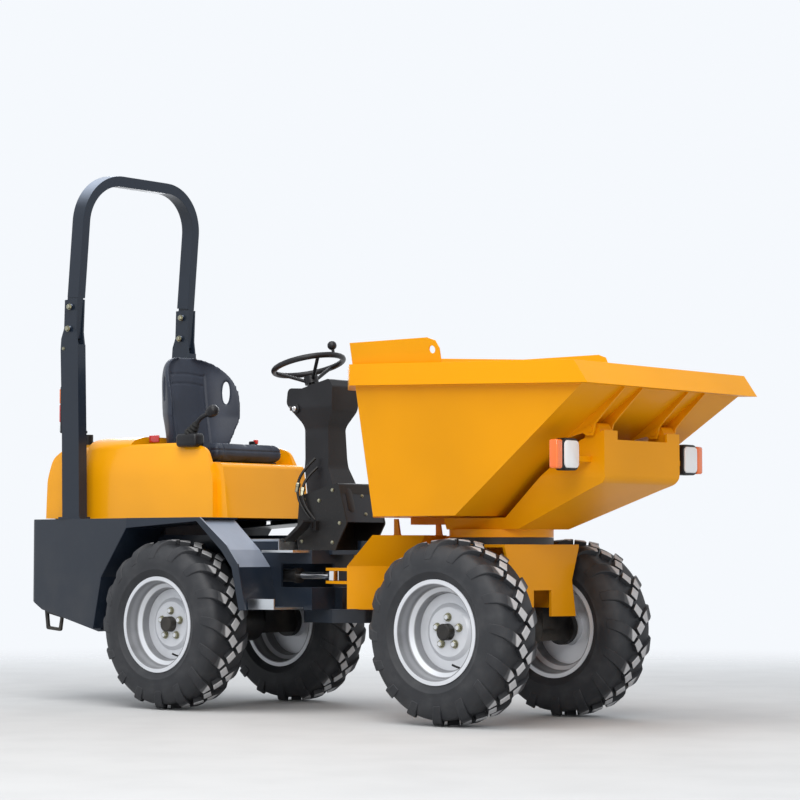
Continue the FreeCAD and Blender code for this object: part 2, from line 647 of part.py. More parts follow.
tail_outer = common("tail_outer", [
    extrude("tail_profile", "XZ", [TAIL], -400, 400),
    extrude("tail_across", "YZ", [tail_section(0)], s.hood_back - 10, s.hood_split)])
tail_inner = common("tail_inner", [
    extrude("tail_profile_in", "XZ", [TAIL_IN], -400, 400),
    extrude("tail_across_in", "YZ", [tail_section(s.hood_skin)], s.hood_back - 10, s.hood_split + 5)])
HINGE_X = s.hood_back - 9
HINGE_Z = s.hood_z + 6
tabs = []
for side_name, side in SIDES:
    tabs.append(rod("bonnet_knuckle_" + side_name, (HINGE_X, side * 180 - 25, HINGE_Z), "y", 8, 50))
    tabs.append(box("bonnet_tab_" + side_name, (s.hood_back + 1, side * 180, HINGE_Z - 3), (16, 50, 10)))
bonnet = cut("bonnet_bored", fuse("bonnet_parts", [cut("bonnet_shell", tail_outer, [tail_inner])] + tabs), [
    rod("bonnet_pin_hole", (HINGE_X, -230, HINGE_Z), "y", "4 + running_gap", 460)])
node("engine_bonnet", bonnet)
HINGE_PLATE = [
    (s.skirt_back + 2, 800), (HINGE_X - 8, HINGE_Z - 2, 5), (HINGE_X - 8, HINGE_Z + 8, 5),
    (HINGE_X + 6, HINGE_Z + 8, 5), (HINGE_X + 6, SKIRT_TOP - 8), (s.skirt_back + 14, 800)]
pieces = []
for side_name, side in SIDES:
    for place_name, low in (("out", 26), ("in", -36)):
        pieces.append(extrude("bonnet_hinge_%s_%s" % (place_name, side_name), "XZ", [HINGE_PLATE],
                              side * 180 + low, side * 180 + low + 10))
    pieces.append(rod("bonnet_pin_" + side_name, (HINGE_X, side * 180 - 36, HINGE_Z), "y", 4, 72))
node("bonnet_hinges", compound("bonnet_hinge_pair", [
    cut("bonnet_hinge_r_cut", fuse("bonnet_hinge_r", pieces[:3]), [skirt_block]),
    cut("bonnet_hinge_l_cut", fuse("bonnet_hinge_l", pieces[3:]), [skirt_block])]))

FILLER_X, FILLER_Y = -1508, -150
cap = fuse("filler_parts", [
    cut("filler_neck_cut", rod("filler_neck", (FILLER_X, FILLER_Y, 1190), "z", 34, 42), [tail_outer]),
    rod("filler_lid", (FILLER_X, FILLER_Y, 1232), "z", 29, 34),
    rod("filler_knob_stem", (FILLER_X - 18, FILLER_Y, 1266), "z", 6, 8),
    rod("filler_knob", (FILLER_X - 18, FILLER_Y, 1274), "z", 13, 12)])
node("filler_cap", cap)

# Seat

seat_profile = extrude("seat_profile", "XZ", [[
    (-1008, 1190), (-1056, 1606, 20), (-1020, 1626, 20), (-940, 1606, 60), (-866, 1545, 60), (-812, 1440, 60),
    (-822, 1366, 60), (-864, 1282, 40), (-900, 1190)]], -235, 235)
seat_front_view = extrude("seat_front_view", "YZ", [[
    (-215, 1185), (-238, 1300, 60), (-238, 1480, 80), (-158, 1640, 76), (158, 1640, 76), (238, 1480, 80),
    (238, 1300, 60), (215, 1185)]], -1100, -700)
seat_scoop = extrude("seat_scoop", "XZ", [[
    (-922, 1150), (-966, 1500), (-984, 1570), (-700, 1570), (-700, 1150)]], -172, 172)
side_hole = extrude("seat_side_hole", "XZ", [[
    (-915, 1395, 18), (-935, 1500, 15), (-890, 1500, 15), (-862, 1395, 18)]], -300, 300)
back = cut("seat_back_cut", common("seat_back_block", [seat_profile, seat_front_view]),
    [seat_scoop, side_hole])
node("seat_back", back)
node("seat_cushion", extrude("cushion", "XZ", [[
    (-975, 1128, 18), (-960, 1186, 24), (-585, 1190, 26), (-548, 1158, 22), (-560, 1118, 20)]], -242, 242))
SEAT_RAIL = [(-1000, SEAT_WELL_Z), (-1014, 1190), (-978, 1190), (-978, 1128.07), (-580, 1118.48),
    (-580, SEAT_WELL_Z)]
node("seat_frame", fuse("seat_frame_parts", [
    extrude("seat_rails", "XZ", [SEAT_RAIL], -200, -170),
    extrude("seat_rails_left", "XZ", [SEAT_RAIL], 170, 200),
    box("seat_cross", (-960, 0, SEAT_WELL_Z), (60, 400, 12))]))

# Roll-over protection: two posts on the rear chassis and a hoop that folds back

pieces = []
shafts = {}
POST_TOP = 1680
CHEEK_TOP = s.fold_z + s.lock_rise + 36
CHEEK = 8
leg_half = (s.post_wide - 2 * CHEEK - 2) / 2
for side_name, side in SIDES:
    middle = side * s.post_half
    low, high = middle - s.post_wide / 2, middle + s.post_wide / 2
    shaft = extrude("post_" + side_name, "XZ", [[
        (s.post_x - 52, s.post_z), (s.post_x - 60, 1264), (s.post_x - 74, 1660), (s.post_x - 70, POST_TOP),
        (s.post_x + 46, POST_TOP), (s.post_x + 58, 1264), (s.post_x + 66, s.post_z)]], low, high)
    shafts[side_name] = shaft
    cheek_line = [(s.post_x - 74, 1660), (s.post_x - 70, 1712, 20), (s.fold_x - 38, 1760),
                  (s.fold_x - 34, CHEEK_TOP), (s.fold_x + 52, CHEEK_TOP), (s.fold_x + 46, 1740),
                  (s.post_x + 46, 1660)]
    cheeks = [extrude("cheek_out_" + side_name, "XZ", [cheek_line], low, low + CHEEK),
              extrude("cheek_in_" + side_name, "XZ", [cheek_line], high - CHEEK, high)]
    bolts = [rod("fold_bolt_" + side_name, ("fold_x", low - 9, "fold_z"), "y", 9, s.post_wide + 18),
             rod("fold_head_" + side_name, ("fold_x", low - 11, "fold_z"), "y", 14, 11),
             rod("fold_nut_" + side_name, ("fold_x", high, "fold_z"), "y", 14, 11),
             rod("lock_head_" + side_name, ("fold_x + 10", low - 9, "fold_z + lock_rise"), "y", 14, 9),
             rod("lock_nut_" + side_name, ("fold_x + 10", high, "fold_z + lock_rise"), "y", 14, 9),
             box("post_foot_" + side_name, (s.post_x + 4, middle, s.post_z), (150, 66, 10))]
    pieces.append(fuse("post_set_" + side_name, [shaft] + cheeks + bolts))
node("rops_posts", compound("rops_post_pair", pieces))

legs_low = s.fold_z - 44
outer_half = s.post_half + s.hoop_wide / 2 - 8
inner_half = outer_half - s.hoop_wide + 6
rise = (s.hoop_top - s.fold_z) / math.cos(math.radians(s.hoop_lean))
top_z = s.fold_z + rise - s.hoop_deep / 2 * math.sin(math.radians(s.hoop_lean))
top_in = top_z - s.hoop_wide
hoop_outer = [(-outer_half, legs_low), (-outer_half, top_z, s.hoop_corner),
              (outer_half, top_z, s.hoop_corner), (outer_half, legs_low), (inner_half, legs_low),
              (inner_half, top_in, s.hoop_corner - s.hoop_wide),
              (-inner_half, top_in, s.hoop_corner - s.hoop_wide), (-inner_half, legs_low)]
hoop_body = extrude("hoop_tube", "YZ", [hoop_outer], s.fold_x - s.hoop_deep / 2, s.fold_x + s.hoop_deep / 2)
slim = []
for side_name, side in SIDES:
    for place_name, way in (("out", 1), ("in", -1)):
        middle = side * (s.post_half + way * (leg_half + 60) / 2)
        slim.append(box("hoop_slim_%s_%s" % (place_name, side_name), ("fold_x", middle, 1600),
                        (200, 60 - leg_half, CHEEK_TOP - 1590)))
slim.append(rod("hoop_bolt_hole", ("fold_x", -500, "fold_z"), "y", "9 + running_gap", 1000))
hoop = cut("hoop_cut", hoop_body, slim)
node("rops_hoop", turned(hoop, (s.fold_x, 0, s.fold_z), (0, 1, 0), s.hoop_lean))

pieces = []
for side_name, side in SIDES:
    lamp = extrude("lamp_" + side_name, "XZ", [[
        (s.post_x - 55, 1264), (s.post_x - 55, 1484), (s.post_x - 89, 1484, 12), (s.post_x - 89, 1264, 12)]],
        side * s.post_half - 22, side * s.post_half + 22)
    pieces.append(cut("lamp_fitted_" + side_name, lamp, [shafts[side_name]]))
node("tail_lamps", compound("tail_lamp_pair", pieces))

# Driving controls

BASE_TOP = ((-124, 952), (109, 1008))


def base_top(x):
    """Height of the sloping top of the column's base."""
    (x0, z0), (x1, z1) = BASE_TOP
    return z0 + (z1 - z0) * (x - x0) / (x1 - x0)


column_base = extrude("column_box", "XZ", [[
    BASE_TOP[0], BASE_TOP[1] + (12,), (160, 829, 20), (104, 737, 12), (92, s.deck_z), (-130, s.deck_z),
    (-142, 760)]], -130, 130)
base_hollow = extrude("column_box_inside", "XZ", [[
    (-20, 700), (-20, 900, 20), (60, 960, 20), (200, 960), (200, 700)]], -122, 122)
node("column_base", cut("column_base_cut", column_base, [base_hollow]))
column_profile = extrude("column_profile", "XZ", [[
    (-116, base_top(-116)), (-150, 1080, 60), (-158, 1272, 60), (-245, 1370, 30), (-236, 1440, 24),
    (-150, 1436), (-110, 1446, 20), (14, 1474, 16), (34, 1440, 20), (30, 1330, 40), (-18, 1262, 60),
    (-8, 1080, 60), (36, base_top(36))]], -120, 120)
column_width = extrude("column_width", "YZ", [[
    (-88, 940), (-62, 1120, 80), (-58, 1250, 60), (-88, 1350, 50), (-88, 1480), (88, 1480), (88, 1350, 50),
    (58, 1250, 60), (62, 1120, 80), (88, 940)]], -300, 60)
column = node("steering_column", common("steering_column_solid", [column_profile, column_width]))

tilt = math.radians(s.wheel_tilt)
lean = FreeCAD.Vector(-math.sin(tilt), 0, math.cos(tilt))
rim_at = FreeCAD.Vector(s.wheel_x, 0, s.wheel_z)
hub_at = rim_at - lean * s.wheel_dish
grip = doc.addObject("Part::Torus", "steering_rim")
bind(grip, "Radius1", "wheel_radius - wheel_grip")
bind(grip, "Radius2", "wheel_grip")
grip.Placement = FreeCAD.Placement(rim_at, FreeCAD.Rotation(FreeCAD.Vector(0, 0, 1), lean))
pieces = [grip, bar("steering_hub", hub_at, hub_at + lean * 34, 32)]
across = FreeCAD.Vector(0, 1, 0)
ahead = across.cross(lean)
for count, angle in enumerate((90, 210, 330)):
    way = ahead * math.cos(math.radians(angle)) + across * math.sin(math.radians(angle))
    pieces.append(bar("steering_spoke_%d" % count, hub_at + lean * 14 + way * 20,
                      rim_at + way * (s.wheel_radius - s.wheel_grip - 4), 8))
knob_at = rim_at + ahead * (s.wheel_radius - s.wheel_grip)
pieces.append(bar("steering_knob_stem", knob_at, knob_at + lean * 34, 7))
knob = doc.addObject("Part::Sphere", "steering_knob")
knob.Radius = 21
knob.Placement.Base = knob_at + lean * 44
pieces.append(knob)
steering = cut("steering_bored", fuse("steering_parts", pieces), [
    bar("steering_bore", hub_at - lean * 1, hub_at + lean * 26, 14 + s.running_gap)])
node("steering_wheel", steering)
stub = bar("steering_stub", hub_at - lean * 26, hub_at + lean * 24, 14)
node("steering_shaft", cut("steering_stub_cut", stub, [column]))

pieces = []
for side_name, side in SIDES:
    pieces.append(extrude("pedal_" + side_name, "XZ", [[
        (-136, 748), (-60, 800), (-20, 836), (-26, 844), (-70, 812), (-141, 758)]],
        min(side * 150, side * 215), max(side * 150, side * 215)))
    pieces.append(box("pedal_arm_" + side_name, (-20, side * 141, 800), (30, 22, 40)))
    pieces.append(box("pedal_link_" + side_name, (-24, side * 156, 806), (12, 16, 30)))
node("pedals", compound("pedal_pair", [fuse("pedal_set_r", pieces[:3]), fuse("pedal_set_l", pieces[3:])]))

LEVER_Y = -278
lever = fuse("lever_parts", [
    cut("lever_base_cut", extrude("lever_base", "XZ", [[
        (-690, 1150), (-680, 1204, 20), (-640, 1226, 20), (-520, 1206, 20), (-478, 1150, 14),
        (-510, 1130)]], LEVER_Y - 10, LEVER_Y + 10), [console_outer]),
    bar("lever_stalk", (-575, LEVER_Y, 1200), (-520, LEVER_Y, 1322), 9),
    bar("lever_grip", (-535, LEVER_Y, 1290), (-500, LEVER_Y, 1362), 17)])
node("control_lever", lever)

# Towing and tying down

hook = fuse("hitch_parts", [
    box("hitch_plate", (s.skirt_back - 6, 0, 470), (12, 150, 170)),
    extrude("hitch_hook", "XZ", [[
        (s.skirt_back - 12, 482), (-1722, 452, 30), (-1788, 470, 40), (-1792, 560, 12), (-1764, 566, 12),
        (-1758, 500, 22), (-1716, 486, 26), (-1700, 532, 14), (s.skirt_back - 12, 560)]], -20, 20)])
node("tow_hitch", hook)
pieces = []
for side_name, side in SIDES:
    pieces.append(extrude("tie_" + side_name, "XZ", [
        [(-1580, 460), (-1562, 336, 12), (-1462, 328, 12), (-1440, 460)],
        [(-1556, 412), (-1548, 351, 8), (-1474, 344, 8), (-1464, 394)]], side * 345 - 7, side * 345 + 7))
node("tie_downs", compound("tie_down_pair", [
    cut("tie_right_cut", pieces[0], [skirt_block]), cut("tie_left_cut", pieces[1], [skirt_block])]))

# Front chassis

frame_half = 150
TOP_Z = s.slew_z - 12
pieces = []
for side_name, side in SIDES:
    low, high = sorted((side * (frame_half - s.plate), side * frame_half))
    pieces.append(extrude("spine_" + side_name, "XZ", [[
        (300, 700), (340, TOP_Z), (1137, TOP_Z), (1137, 600), (1060, PAD_Z), (890, PAD_Z),
        (820, 480), (600, 466), (300, 466)]], low, high))
    wing = [(262, 120), (s.deck_front + 425, 484), (626, 262), (626, 120)]
    wing_top = [(300, 120), (598, 456), (720, 262), (720, 120)]
    hollow = [(292, 110), (s.deck_front + 421, 462), (614, 252), (614, 110)]
    hollow_top = [(330, 110), (594, 436), (706, 252), (706, 110)]
    rings = []
    for outline, z in ((wing, 466), (wing, 645), (wing_top, 774), (hollow, 460), (hollow, 645),
                       (hollow_top, 780)):
        rings.append(Part.makePolygon([FreeCAD.Vector(x, side * y, z) for x, y in outline + outline[:1]]))
    lower, upper, lower_room, upper_room = [
        Part.makeLoft(rings[i:i + 2], True, True) for i in (0, 1, 3, 4)]
    wing_solid = doc.addObject("Part::Feature", "wing_" + side_name)
    wing_solid.Shape = lower.fuse(upper).cut(lower_room).cut(upper_room)
    pieces.append(wing_solid)
    pieces.append(extrude("foot_" + side_name, "YZ", [[
        (side * 60, 560), (side * 60, 436), (side * 230, 434), (side * 204, 586)]], 1125, 1137))
pieces.append(extrude("nose_plate", "YZ", [[
    (-253, TOP_Z), (-204, 586), (-150, 545), (150, 545), (204, 586), (253, TOP_Z)]], 1125, 1137))
pieces.append(box("top_plate", (920, 0, TOP_Z), (434, 506, 12)))
pieces.append(box("spine_roof", (560, 0, 690), (480, 2 * frame_half, 12)))
for z_name, low, high in (("upper", 650, 690), ("lower", 454, 494)):
    pieces.append(extrude("eye_" + z_name, "XY", [[
        (PIVOT_X - LUG_REACH, -LUG_REACH, 40), (PIVOT_X - LUG_REACH, LUG_REACH, 40), (250, frame_half),
        (420, frame_half), (420, -frame_half), (250, -frame_half)]], low, high))
for z_name, low in (("upper", s.ram_z + 22), ("lower", s.ram_z - 34)):
    pieces.append(extrude("clevis_" + z_name, "XY", [[
        (s.ram_front - 26, s.ram_y - 26, 24), (s.ram_front - 26, s.ram_y + 26, 24), (300, 30 - frame_half),
        (340, 30 - frame_half), (390, -330)]], low, low + 12))
for side_name, side in SIDES:
    pieces.append(extrude("rest_" + side_name, "XZ", [
        [(380, TOP_Z - 30), (446, 780), (446, 845), (466, 845), (478, 780), (560, TOP_Z - 30)]],
        side * 140 - 5, side * 140 + 5))
bores = [rod("eye_bore", (PIVOT_X, 0, 440), "z", "pivot_radius + running_gap", 260)]
front = cut("front_frame_cut", fuse("front_frame_parts", pieces), bores)
node("front_frame", front)

ring = fuse("ring_parts", [
    rod("ring_lower", (SLEW_X, 0, "slew_z"), "z", "slew_radius", 29),
    rod("ring_spigot", (SLEW_X, 0, "slew_z + 29"), "z", 60, 30)])
node("slew_ring", ring)

# Swivel console that carries the skip

RING_TOP = s.slew_z + 30
LAMP_X = TIP_X - 15
LAMP_Y = 435
LAMP_LOW, LAMP_HIGH = 1019, 1155
LAMP_HALF = 75
pieces = []
half = 262
shell_profile = [(-156, 798), (-156, 845), (173, 845), (s.tip_ahead - 60, s.tip_z - 40),
                 (726, s.tip_z - 4), (726, 985, 40), (640, 955, 60), (224, 798)]
outer = extrude("console_hull", "XZ", [[(SLEW_X + p[0],) + tuple(p[1:]) for p in shell_profile]], -half, half)
belly = extrude("console_belly", "YZ", [[
    (-half, 1300), (-half, 1010, 80), (-170, 790), (170, 790), (half, 1010, 80), (half, 1300)]],
    SLEW_X - 200, SLEW_X + 760)
hollow_profile = [(-170, 810), (-170, 900), (173, 900), (s.tip_ahead - 60, s.tip_z + 60),
                  (714, s.tip_z + 60), (714, 994, 34), (634, 968, 54), (222, 810)]
hollow = extrude("console_hollow", "XZ", [[(SLEW_X + p[0],) + tuple(p[1:]) for p in hollow_profile]],
    12 - half, half - 12)
belly_in = extrude("console_belly_in", "YZ", [[
    (12 - half, 1300), (12 - half, 1012, 70), (-162, 800), (162, 800), (half - 12, 1012, 70),
    (half - 12, 1300)]], SLEW_X - 200, SLEW_X + 760)
console_shell = cut("swivel_shell", common("swivel_outer", [outer, belly]),
    [common("swivel_inner", [hollow, belly_in])])
pieces.append(console_shell)
pieces.append(rod("swivel_ring", (SLEW_X, 0, RING_TOP), "z", "slew_radius", 798 - RING_TOP))
for side_name, side in SIDES:
    pieces.append(extrude("hinge_cheek_" + side_name, "XZ", [[
        (TIP_X - 70, s.tip_z - 160), (TIP_X - 34, s.tip_z + 2, 20), (TIP_X - 20, s.tip_z + 26, 20),
        (TIP_X + 20, s.tip_z + 26, 20), (TIP_X + 34, s.tip_z - 2, 20), (TIP_X + 44, s.tip_z - 160)]],
        side * s.tip_half - 40, side * s.tip_half + 40))
    pieces.append(rod("tip_pin_" + side_name, (TIP_X, side * s.tip_half - 68, "tip_z"), "y", "tip_pin", 136))
    arm_end = LAMP_Y - LAMP_HALF
    pieces.append(box("lamp_arm_" + side_name, (LAMP_X, side * (arm_end + half) / 2, 1060),
        (14, arm_end - half, 22)))
for side_name, side in SIDES:
    pieces.append(extrude("lift_lug_" + side_name, "XZ", [[
        (s.lift_pin_x - 70, 925), (s.lift_pin_x - 28, s.lift_pin_z + 28, 24),
        (s.lift_pin_x + 28, s.lift_pin_z + 28, 24), (s.lift_pin_x + 60, 970), (s.lift_pin_x + 60, 955),
        (s.lift_pin_x - 60, 918)]], side * 50 - 6, side * 50 + 6))
pieces.append(rod("lift_pin", ("lift_pin_x", -64, "lift_pin_z"), "y", 16, 128))
hold = [rod("spigot_bore", (SLEW_X, 0, 700), "z", "60 + running_gap", 98)]
notch = box("front_notch", (SLEW_X + 720, 0, "notch_z"), (60, "2 * notch_half", 100))
node("swivel_console", cut("swivel_cut", fuse("swivel_parts", pieces), hold + [notch]))

pieces = []
for side_name, side in SIDES:
    middle = side * LAMP_Y
    low, high = middle - LAMP_HALF, middle + LAMP_HALF
    housing = common("lamp_housing_" + side_name, [
        extrude("lamp_side_" + side_name, "XZ", [[
            (LAMP_X - 31, LAMP_LOW + 14, 16), (LAMP_X - 31, LAMP_HIGH - 14, 16), (LAMP_X + 24, LAMP_HIGH, 8),
            (LAMP_X + 24, LAMP_LOW, 8)]], low, high),
        extrude("lamp_face_" + side_name, "YZ", [[
            (low, LAMP_LOW, 18), (high, LAMP_LOW, 18), (high, LAMP_HIGH, 18), (low, LAMP_HIGH, 18)]],
            LAMP_X - 40, LAMP_X + 40)])
    glass = extrude("lamp_glass_" + side_name, "YZ", [[
        (low + 9, LAMP_LOW + 9, 12), (high - 9, LAMP_LOW + 9, 12), (high - 9, LAMP_HIGH - 9, 12),
        (low + 9, LAMP_HIGH - 9, 12)]], LAMP_X + 20, LAMP_X + 31)
    pieces.append(fuse("front_lamp_" + side_name, [housing, glass]))
node("front_lamps", compound("front_lamp_pair", pieces))


# Skip

def plane_side(side, inset):
    """Outward normal and offset of the walls: side, corner and rear, in from the outer face by an inset."""
    rise_side = math.hypot(1, s.side_lean)
    rise_corner = math.hypot(1, s.corner_lean)
    run = FreeCAD.Vector(s.floor_back - s.floor_corner, side * (s.floor_half - s.floor_half_back), 0)
    run.normalize()
    corner_out = FreeCAD.Vector(-abs(run.y), side * abs(run.x), 0)
    corner_at = FreeCAD.Vector(SLEW_X - s.floor_back, side * s.floor_half_back, s.floor_z)
    side_at = FreeCAD.Vector(0, side * s.floor_half, s.floor_z)
    return [
        (FreeCAD.Vector(0, side, -s.side_lean) / rise_side, side_at, inset),
        ((corner_out - FreeCAD.Vector(0, 0, s.corner_lean)) / rise_corner, corner_at, inset),
    ]


def wall_planes(inset, lip_inset):
    """All the planes that bound the skip."""
    angle = math.radians(s.slope)
    planes = plane_side(-1, inset) + plane_side(1, inset)
    rise_back = math.hypot(1, s.back_lean)
    planes.append((FreeCAD.Vector(-1, 0, -s.back_lean) / rise_back,
                   FreeCAD.Vector(SLEW_X - s.floor_back, 0, s.floor_z), inset))
    planes.append((FreeCAD.Vector(0, 0, -1), FreeCAD.Vector(0, 0, s.floor_z), inset))
    planes.append((FreeCAD.Vector(math.sin(angle), 0, -math.cos(angle)),
                   FreeCAD.Vector(SLEW_X + s.floor_bend, 0, s.floor_z), inset))
    planes.append((FreeCAD.Vector(math.cos(angle), 0, math.sin(angle)),
                   FreeCAD.Vector(SLEW_X + s.lip_ahead, 0, s.lip_z), lip_inset))
    return planes


def half_space(normal, point, inset, reach=4000.0):
    """A large block that lies outside a plane."""
    block = Part.makeBox(reach, reach, reach, FreeCAD.Vector(-reach / 2, -reach / 2, 0))
    turn = FreeCAD.Rotation(FreeCAD.Vector(0, 0, 1), normal)
    block.Placement = FreeCAD.Placement(point - normal * inset, turn)
    return block


def tub(inset, lip_inset, top):
    corner = FreeCAD.Vector(SLEW_X - 1000, -800, s.floor_z - 20)
    solid = Part.makeBox(2200, 1600, top - s.floor_z + 20, corner)
    for normal, point, depth in wall_planes(inset, lip_inset):
        solid = solid.cut(half_space(normal, point, depth))
    return solid


def rim_z(x):
    share = (x - (SLEW_X - s.floor_back)) / (s.lip_ahead + s.floor_back)
    return s.rim_back_z + (s.rim_front_z - s.rim_back_z) * share


def slab(outline, low, depth):
    """A plate with an outline (x, z), from one side face across the machine."""
    face = Part.Face(Part.makePolygon([FreeCAD.Vector(x, low, z) for x, z in outline + outline[:1]]))
    return face.extrude(FreeCAD.Vector(0, depth, 0))


BACK_X = SLEW_X - s.floor_back - 200
AHEAD_X = SLEW_X + s.lip_ahead + 200
GUARD_X = SLEW_X + s.guard_end
above_rim = slab([
    (GUARD_X - 46, 1800), (GUARD_X - 46, s.guard_z - 1), (GUARD_X - 8, s.guard_z - 14),
    (GUARD_X + 10, s.guard_z - 46), (GUARD_X + 12, rim_z(GUARD_X + 12)), (AHEAD_X, rim_z(AHEAD_X)),
    (AHEAD_X, 1800)], -900, 1800)
outside = tub(0, 0, s.guard_z)
inside = tub(s.skip_plate, s.skip_plate, s.guard_z + 50)
band_space = slab([
    (BACK_X, rim_z(BACK_X)), (AHEAD_X, rim_z(AHEAD_X)), (AHEAD_X, rim_z(AHEAD_X) - s.band_height),
    (BACK_X, rim_z(BACK_X) - s.band_height)], -900, 1800)
band_half = s.floor_half + s.side_lean * (s.rim_back_z - s.floor_z - s.band_height) + s.band_out
band_back = s.floor_back + s.back_lean * (s.rim_back_z - s.floor_z - s.band_height) + s.band_out
corner_x = SLEW_X - s.floor_corner - 14
back_half = 252
band_outline = [(SLEW_X - band_back, -back_half), (corner_x, -band_half), (AHEAD_X, -band_half - 8),
                (AHEAD_X, band_half + 8), (corner_x, band_half), (SLEW_X - band_back, back_half)]
band_loop = Part.makePolygon([FreeCAD.Vector(x, y, 1200) for x, y in band_outline + band_outline[:1]])
band_plan = Part.Face(band_loop).extrude(FreeCAD.Vector(0, 0, 400))
band = band_plan.common(band_space)
slope = math.radians(s.slope)
band = band.cut(half_space(FreeCAD.Vector(math.cos(slope), 0, math.sin(slope)),
                           FreeCAD.Vector(SLEW_X + s.lip_ahead, 0, s.lip_z), 0))
shell = outside.cut(above_rim).fuse(band).cut(inside)


def slope_z(x):
    return s.floor_z + math.tan(slope) * (x - SLEW_X - s.floor_bend)


extras = []
for side_name, side in SIDES:
    for offset in (-60, 60):
        y = side * s.tip_half + offset
        rib = slab([
            (TIP_X - 120, slope_z(TIP_X - 120) + 2), (TIP_X - 34, s.tip_z - 14), (TIP_X - 16, s.tip_z - 25),
            (TIP_X + 14, s.tip_z - 25), (TIP_X + 28, s.tip_z + 22), (TIP_X + 60, s.tip_z + 55),
            (TIP_X + 170, slope_z(TIP_X + 170) - 14), (TIP_X + 176, slope_z(TIP_X + 176) + 2)], y - 5, 10)
        bore = Part.makeCylinder(s.tip_pin + s.running_gap, 40, FreeCAD.Vector(TIP_X, y - 20, s.tip_z),
                                 FreeCAD.Vector(0, 1, 0))
        extras.append(rib.cut(bore))
BEND_X = SLEW_X + s.floor_bend
CHANNEL_X = SLEW_X - s.channel_back
CHANNEL_LOW = s.floor_z - s.channel_high
FLANGE = 8
BOSS = 17
BOSS_OUT = 10
BOSS_RADIUS = 16
channel = [Part.makeBox(FLANGE, 2 * s.channel_half + 2 * FLANGE, s.channel_high, FreeCAD.Vector(
    CHANNEL_X, -s.channel_half - FLANGE, CHANNEL_LOW))]
for side_name, side in SIDES:
    low = min(side * s.channel_half, side * (s.channel_half + FLANGE))
    channel.append(slab([
        (CHANNEL_X, s.floor_z), (CHANNEL_X, CHANNEL_LOW), (s.lift_eye_x - 80, CHANNEL_LOW),
        (s.lift_eye_x - 20, s.lift_eye_z - 28), (s.lift_eye_x + 20, s.lift_eye_z - 28),
        (s.lift_eye_x + 90, slope_z(s.lift_eye_x + 90)), (BEND_X, s.floor_z)], low, FLANGE))
    boss_at = min(side * (s.channel_half - BOSS), side * (s.channel_half + FLANGE + BOSS_OUT))
    channel.append(Part.makeCylinder(BOSS_RADIUS, BOSS + FLANGE + BOSS_OUT, FreeCAD.Vector(
        s.lift_eye_x, boss_at, s.lift_eye_z), FreeCAD.Vector(0, 1, 0)))
lift_channel = doc.addObject("Part::Feature", "lift_channel_solid")
lift_channel.Shape = channel[0].fuse(channel[1:]).removeSplitter()
node("lift_channel", lift_channel)
lift_plate = slab([
    (SLEW_X - 679, 1500), (SLEW_X - 679, 1586), (SLEW_X - 625, 1586), (SLEW_X - 600, 1500)], -6, 12)
lift_plate = lift_plate.cut(Part.makeCylinder(
    s.lift_hole, 40, FreeCAD.Vector(SLEW_X - s.rear_hole_behind, -20, s.rear_hole_z),
    FreeCAD.Vector(0, 1, 0)))
extras.append(lift_plate)
shell = shell.fuse(extras)
for side_name, side in SIDES:
    face_y = s.floor_half + s.side_lean * (s.guard_hole_z - s.floor_z)
    square = FreeCAD.Vector(0, side, -s.side_lean).normalize()
    face = FreeCAD.Vector(SLEW_X + s.guard_hole_ahead, side * face_y, s.guard_hole_z)
    shell = shell.cut(Part.makeCylinder(s.lift_hole, 60, face - square * 30, square))
shell = shell.cut(inside.cut(Part.makeBox(900, 1600, 900, FreeCAD.Vector(SLEW_X - 900, -800, 1487))))
skip = doc.addObject("Part::Feature", "skip_solid")
skip.Shape = shell.removeSplitter()
node("skip", skip)

# Cylinders


def cylinder(name, start, end, barrel_radius, barrel_length, rod_radius, pin_axis, eye_radius, pin_radius,
             eye_width, rod_length):
    """A hydraulic cylinder from its pin on the base to its eye on what it moves."""
    start, end = FreeCAD.Vector(*start), FreeCAD.Vector(*end)
    way = (end - start).normalize()
    pin = FreeCAD.Vector(*pin_axis)
    gap = pin_radius + s.running_gap
    from_eye = eye_radius * 0.8
    barrel = Part.makeCylinder(barrel_radius, barrel_length - from_eye, start + way * from_eye, way)
    barrel = barrel.fuse(Part.makeCylinder(barrel_radius + 5, 26, start + way * (barrel_length - 26), way))
    barrel = barrel.fuse(Part.makeCylinder(eye_radius, eye_width, start - pin * eye_width / 2, pin))
    barrel = barrel.cut(Part.makeCylinder(gap, 400, start - pin * 200, pin))
    length = (end - start).Length
    tail_at = end - way * rod_length
    inside_end = start + way * (pin_radius + 10)
    barrel = barrel.cut(Part.makeCylinder(rod_radius + s.running_gap, length, inside_end, way))
    rod_solid = Part.makeCylinder(rod_radius, rod_length - eye_radius * 0.4, tail_at, way)
    rod_solid = rod_solid.fuse(Part.makeCylinder(eye_radius, eye_width, end - pin * eye_width / 2, pin))
    bush_at = end - pin * (eye_width / 2 + 1)
    rod_solid = rod_solid.fuse(Part.makeCylinder(pin_radius - 4, eye_width + 2, bush_at, pin))
    for part_name, solid in (("barrel", barrel), ("rod", rod_solid)):
        feature = doc.addObject("Part::Feature", "%s_%s_solid" % (name, part_name))
        feature.Shape = solid
        node("%s_%s" % (name, part_name), feature)


cylinder("steer", (s.ram_back, s.ram_y, s.ram_z), (s.ram_front, s.ram_y, s.ram_z), 29, s.ram_barrel, 16,
         (0, 0, 1), 24, 14, 40, s.ram_rod)
cylinder("tip", (s.lift_pin_x, 0, s.lift_pin_z), (s.lift_eye_x, 0, s.lift_eye_z), 36, s.lift_barrel, 22,
         (0, 1, 0), 28, 16, 50, s.lift_rod)

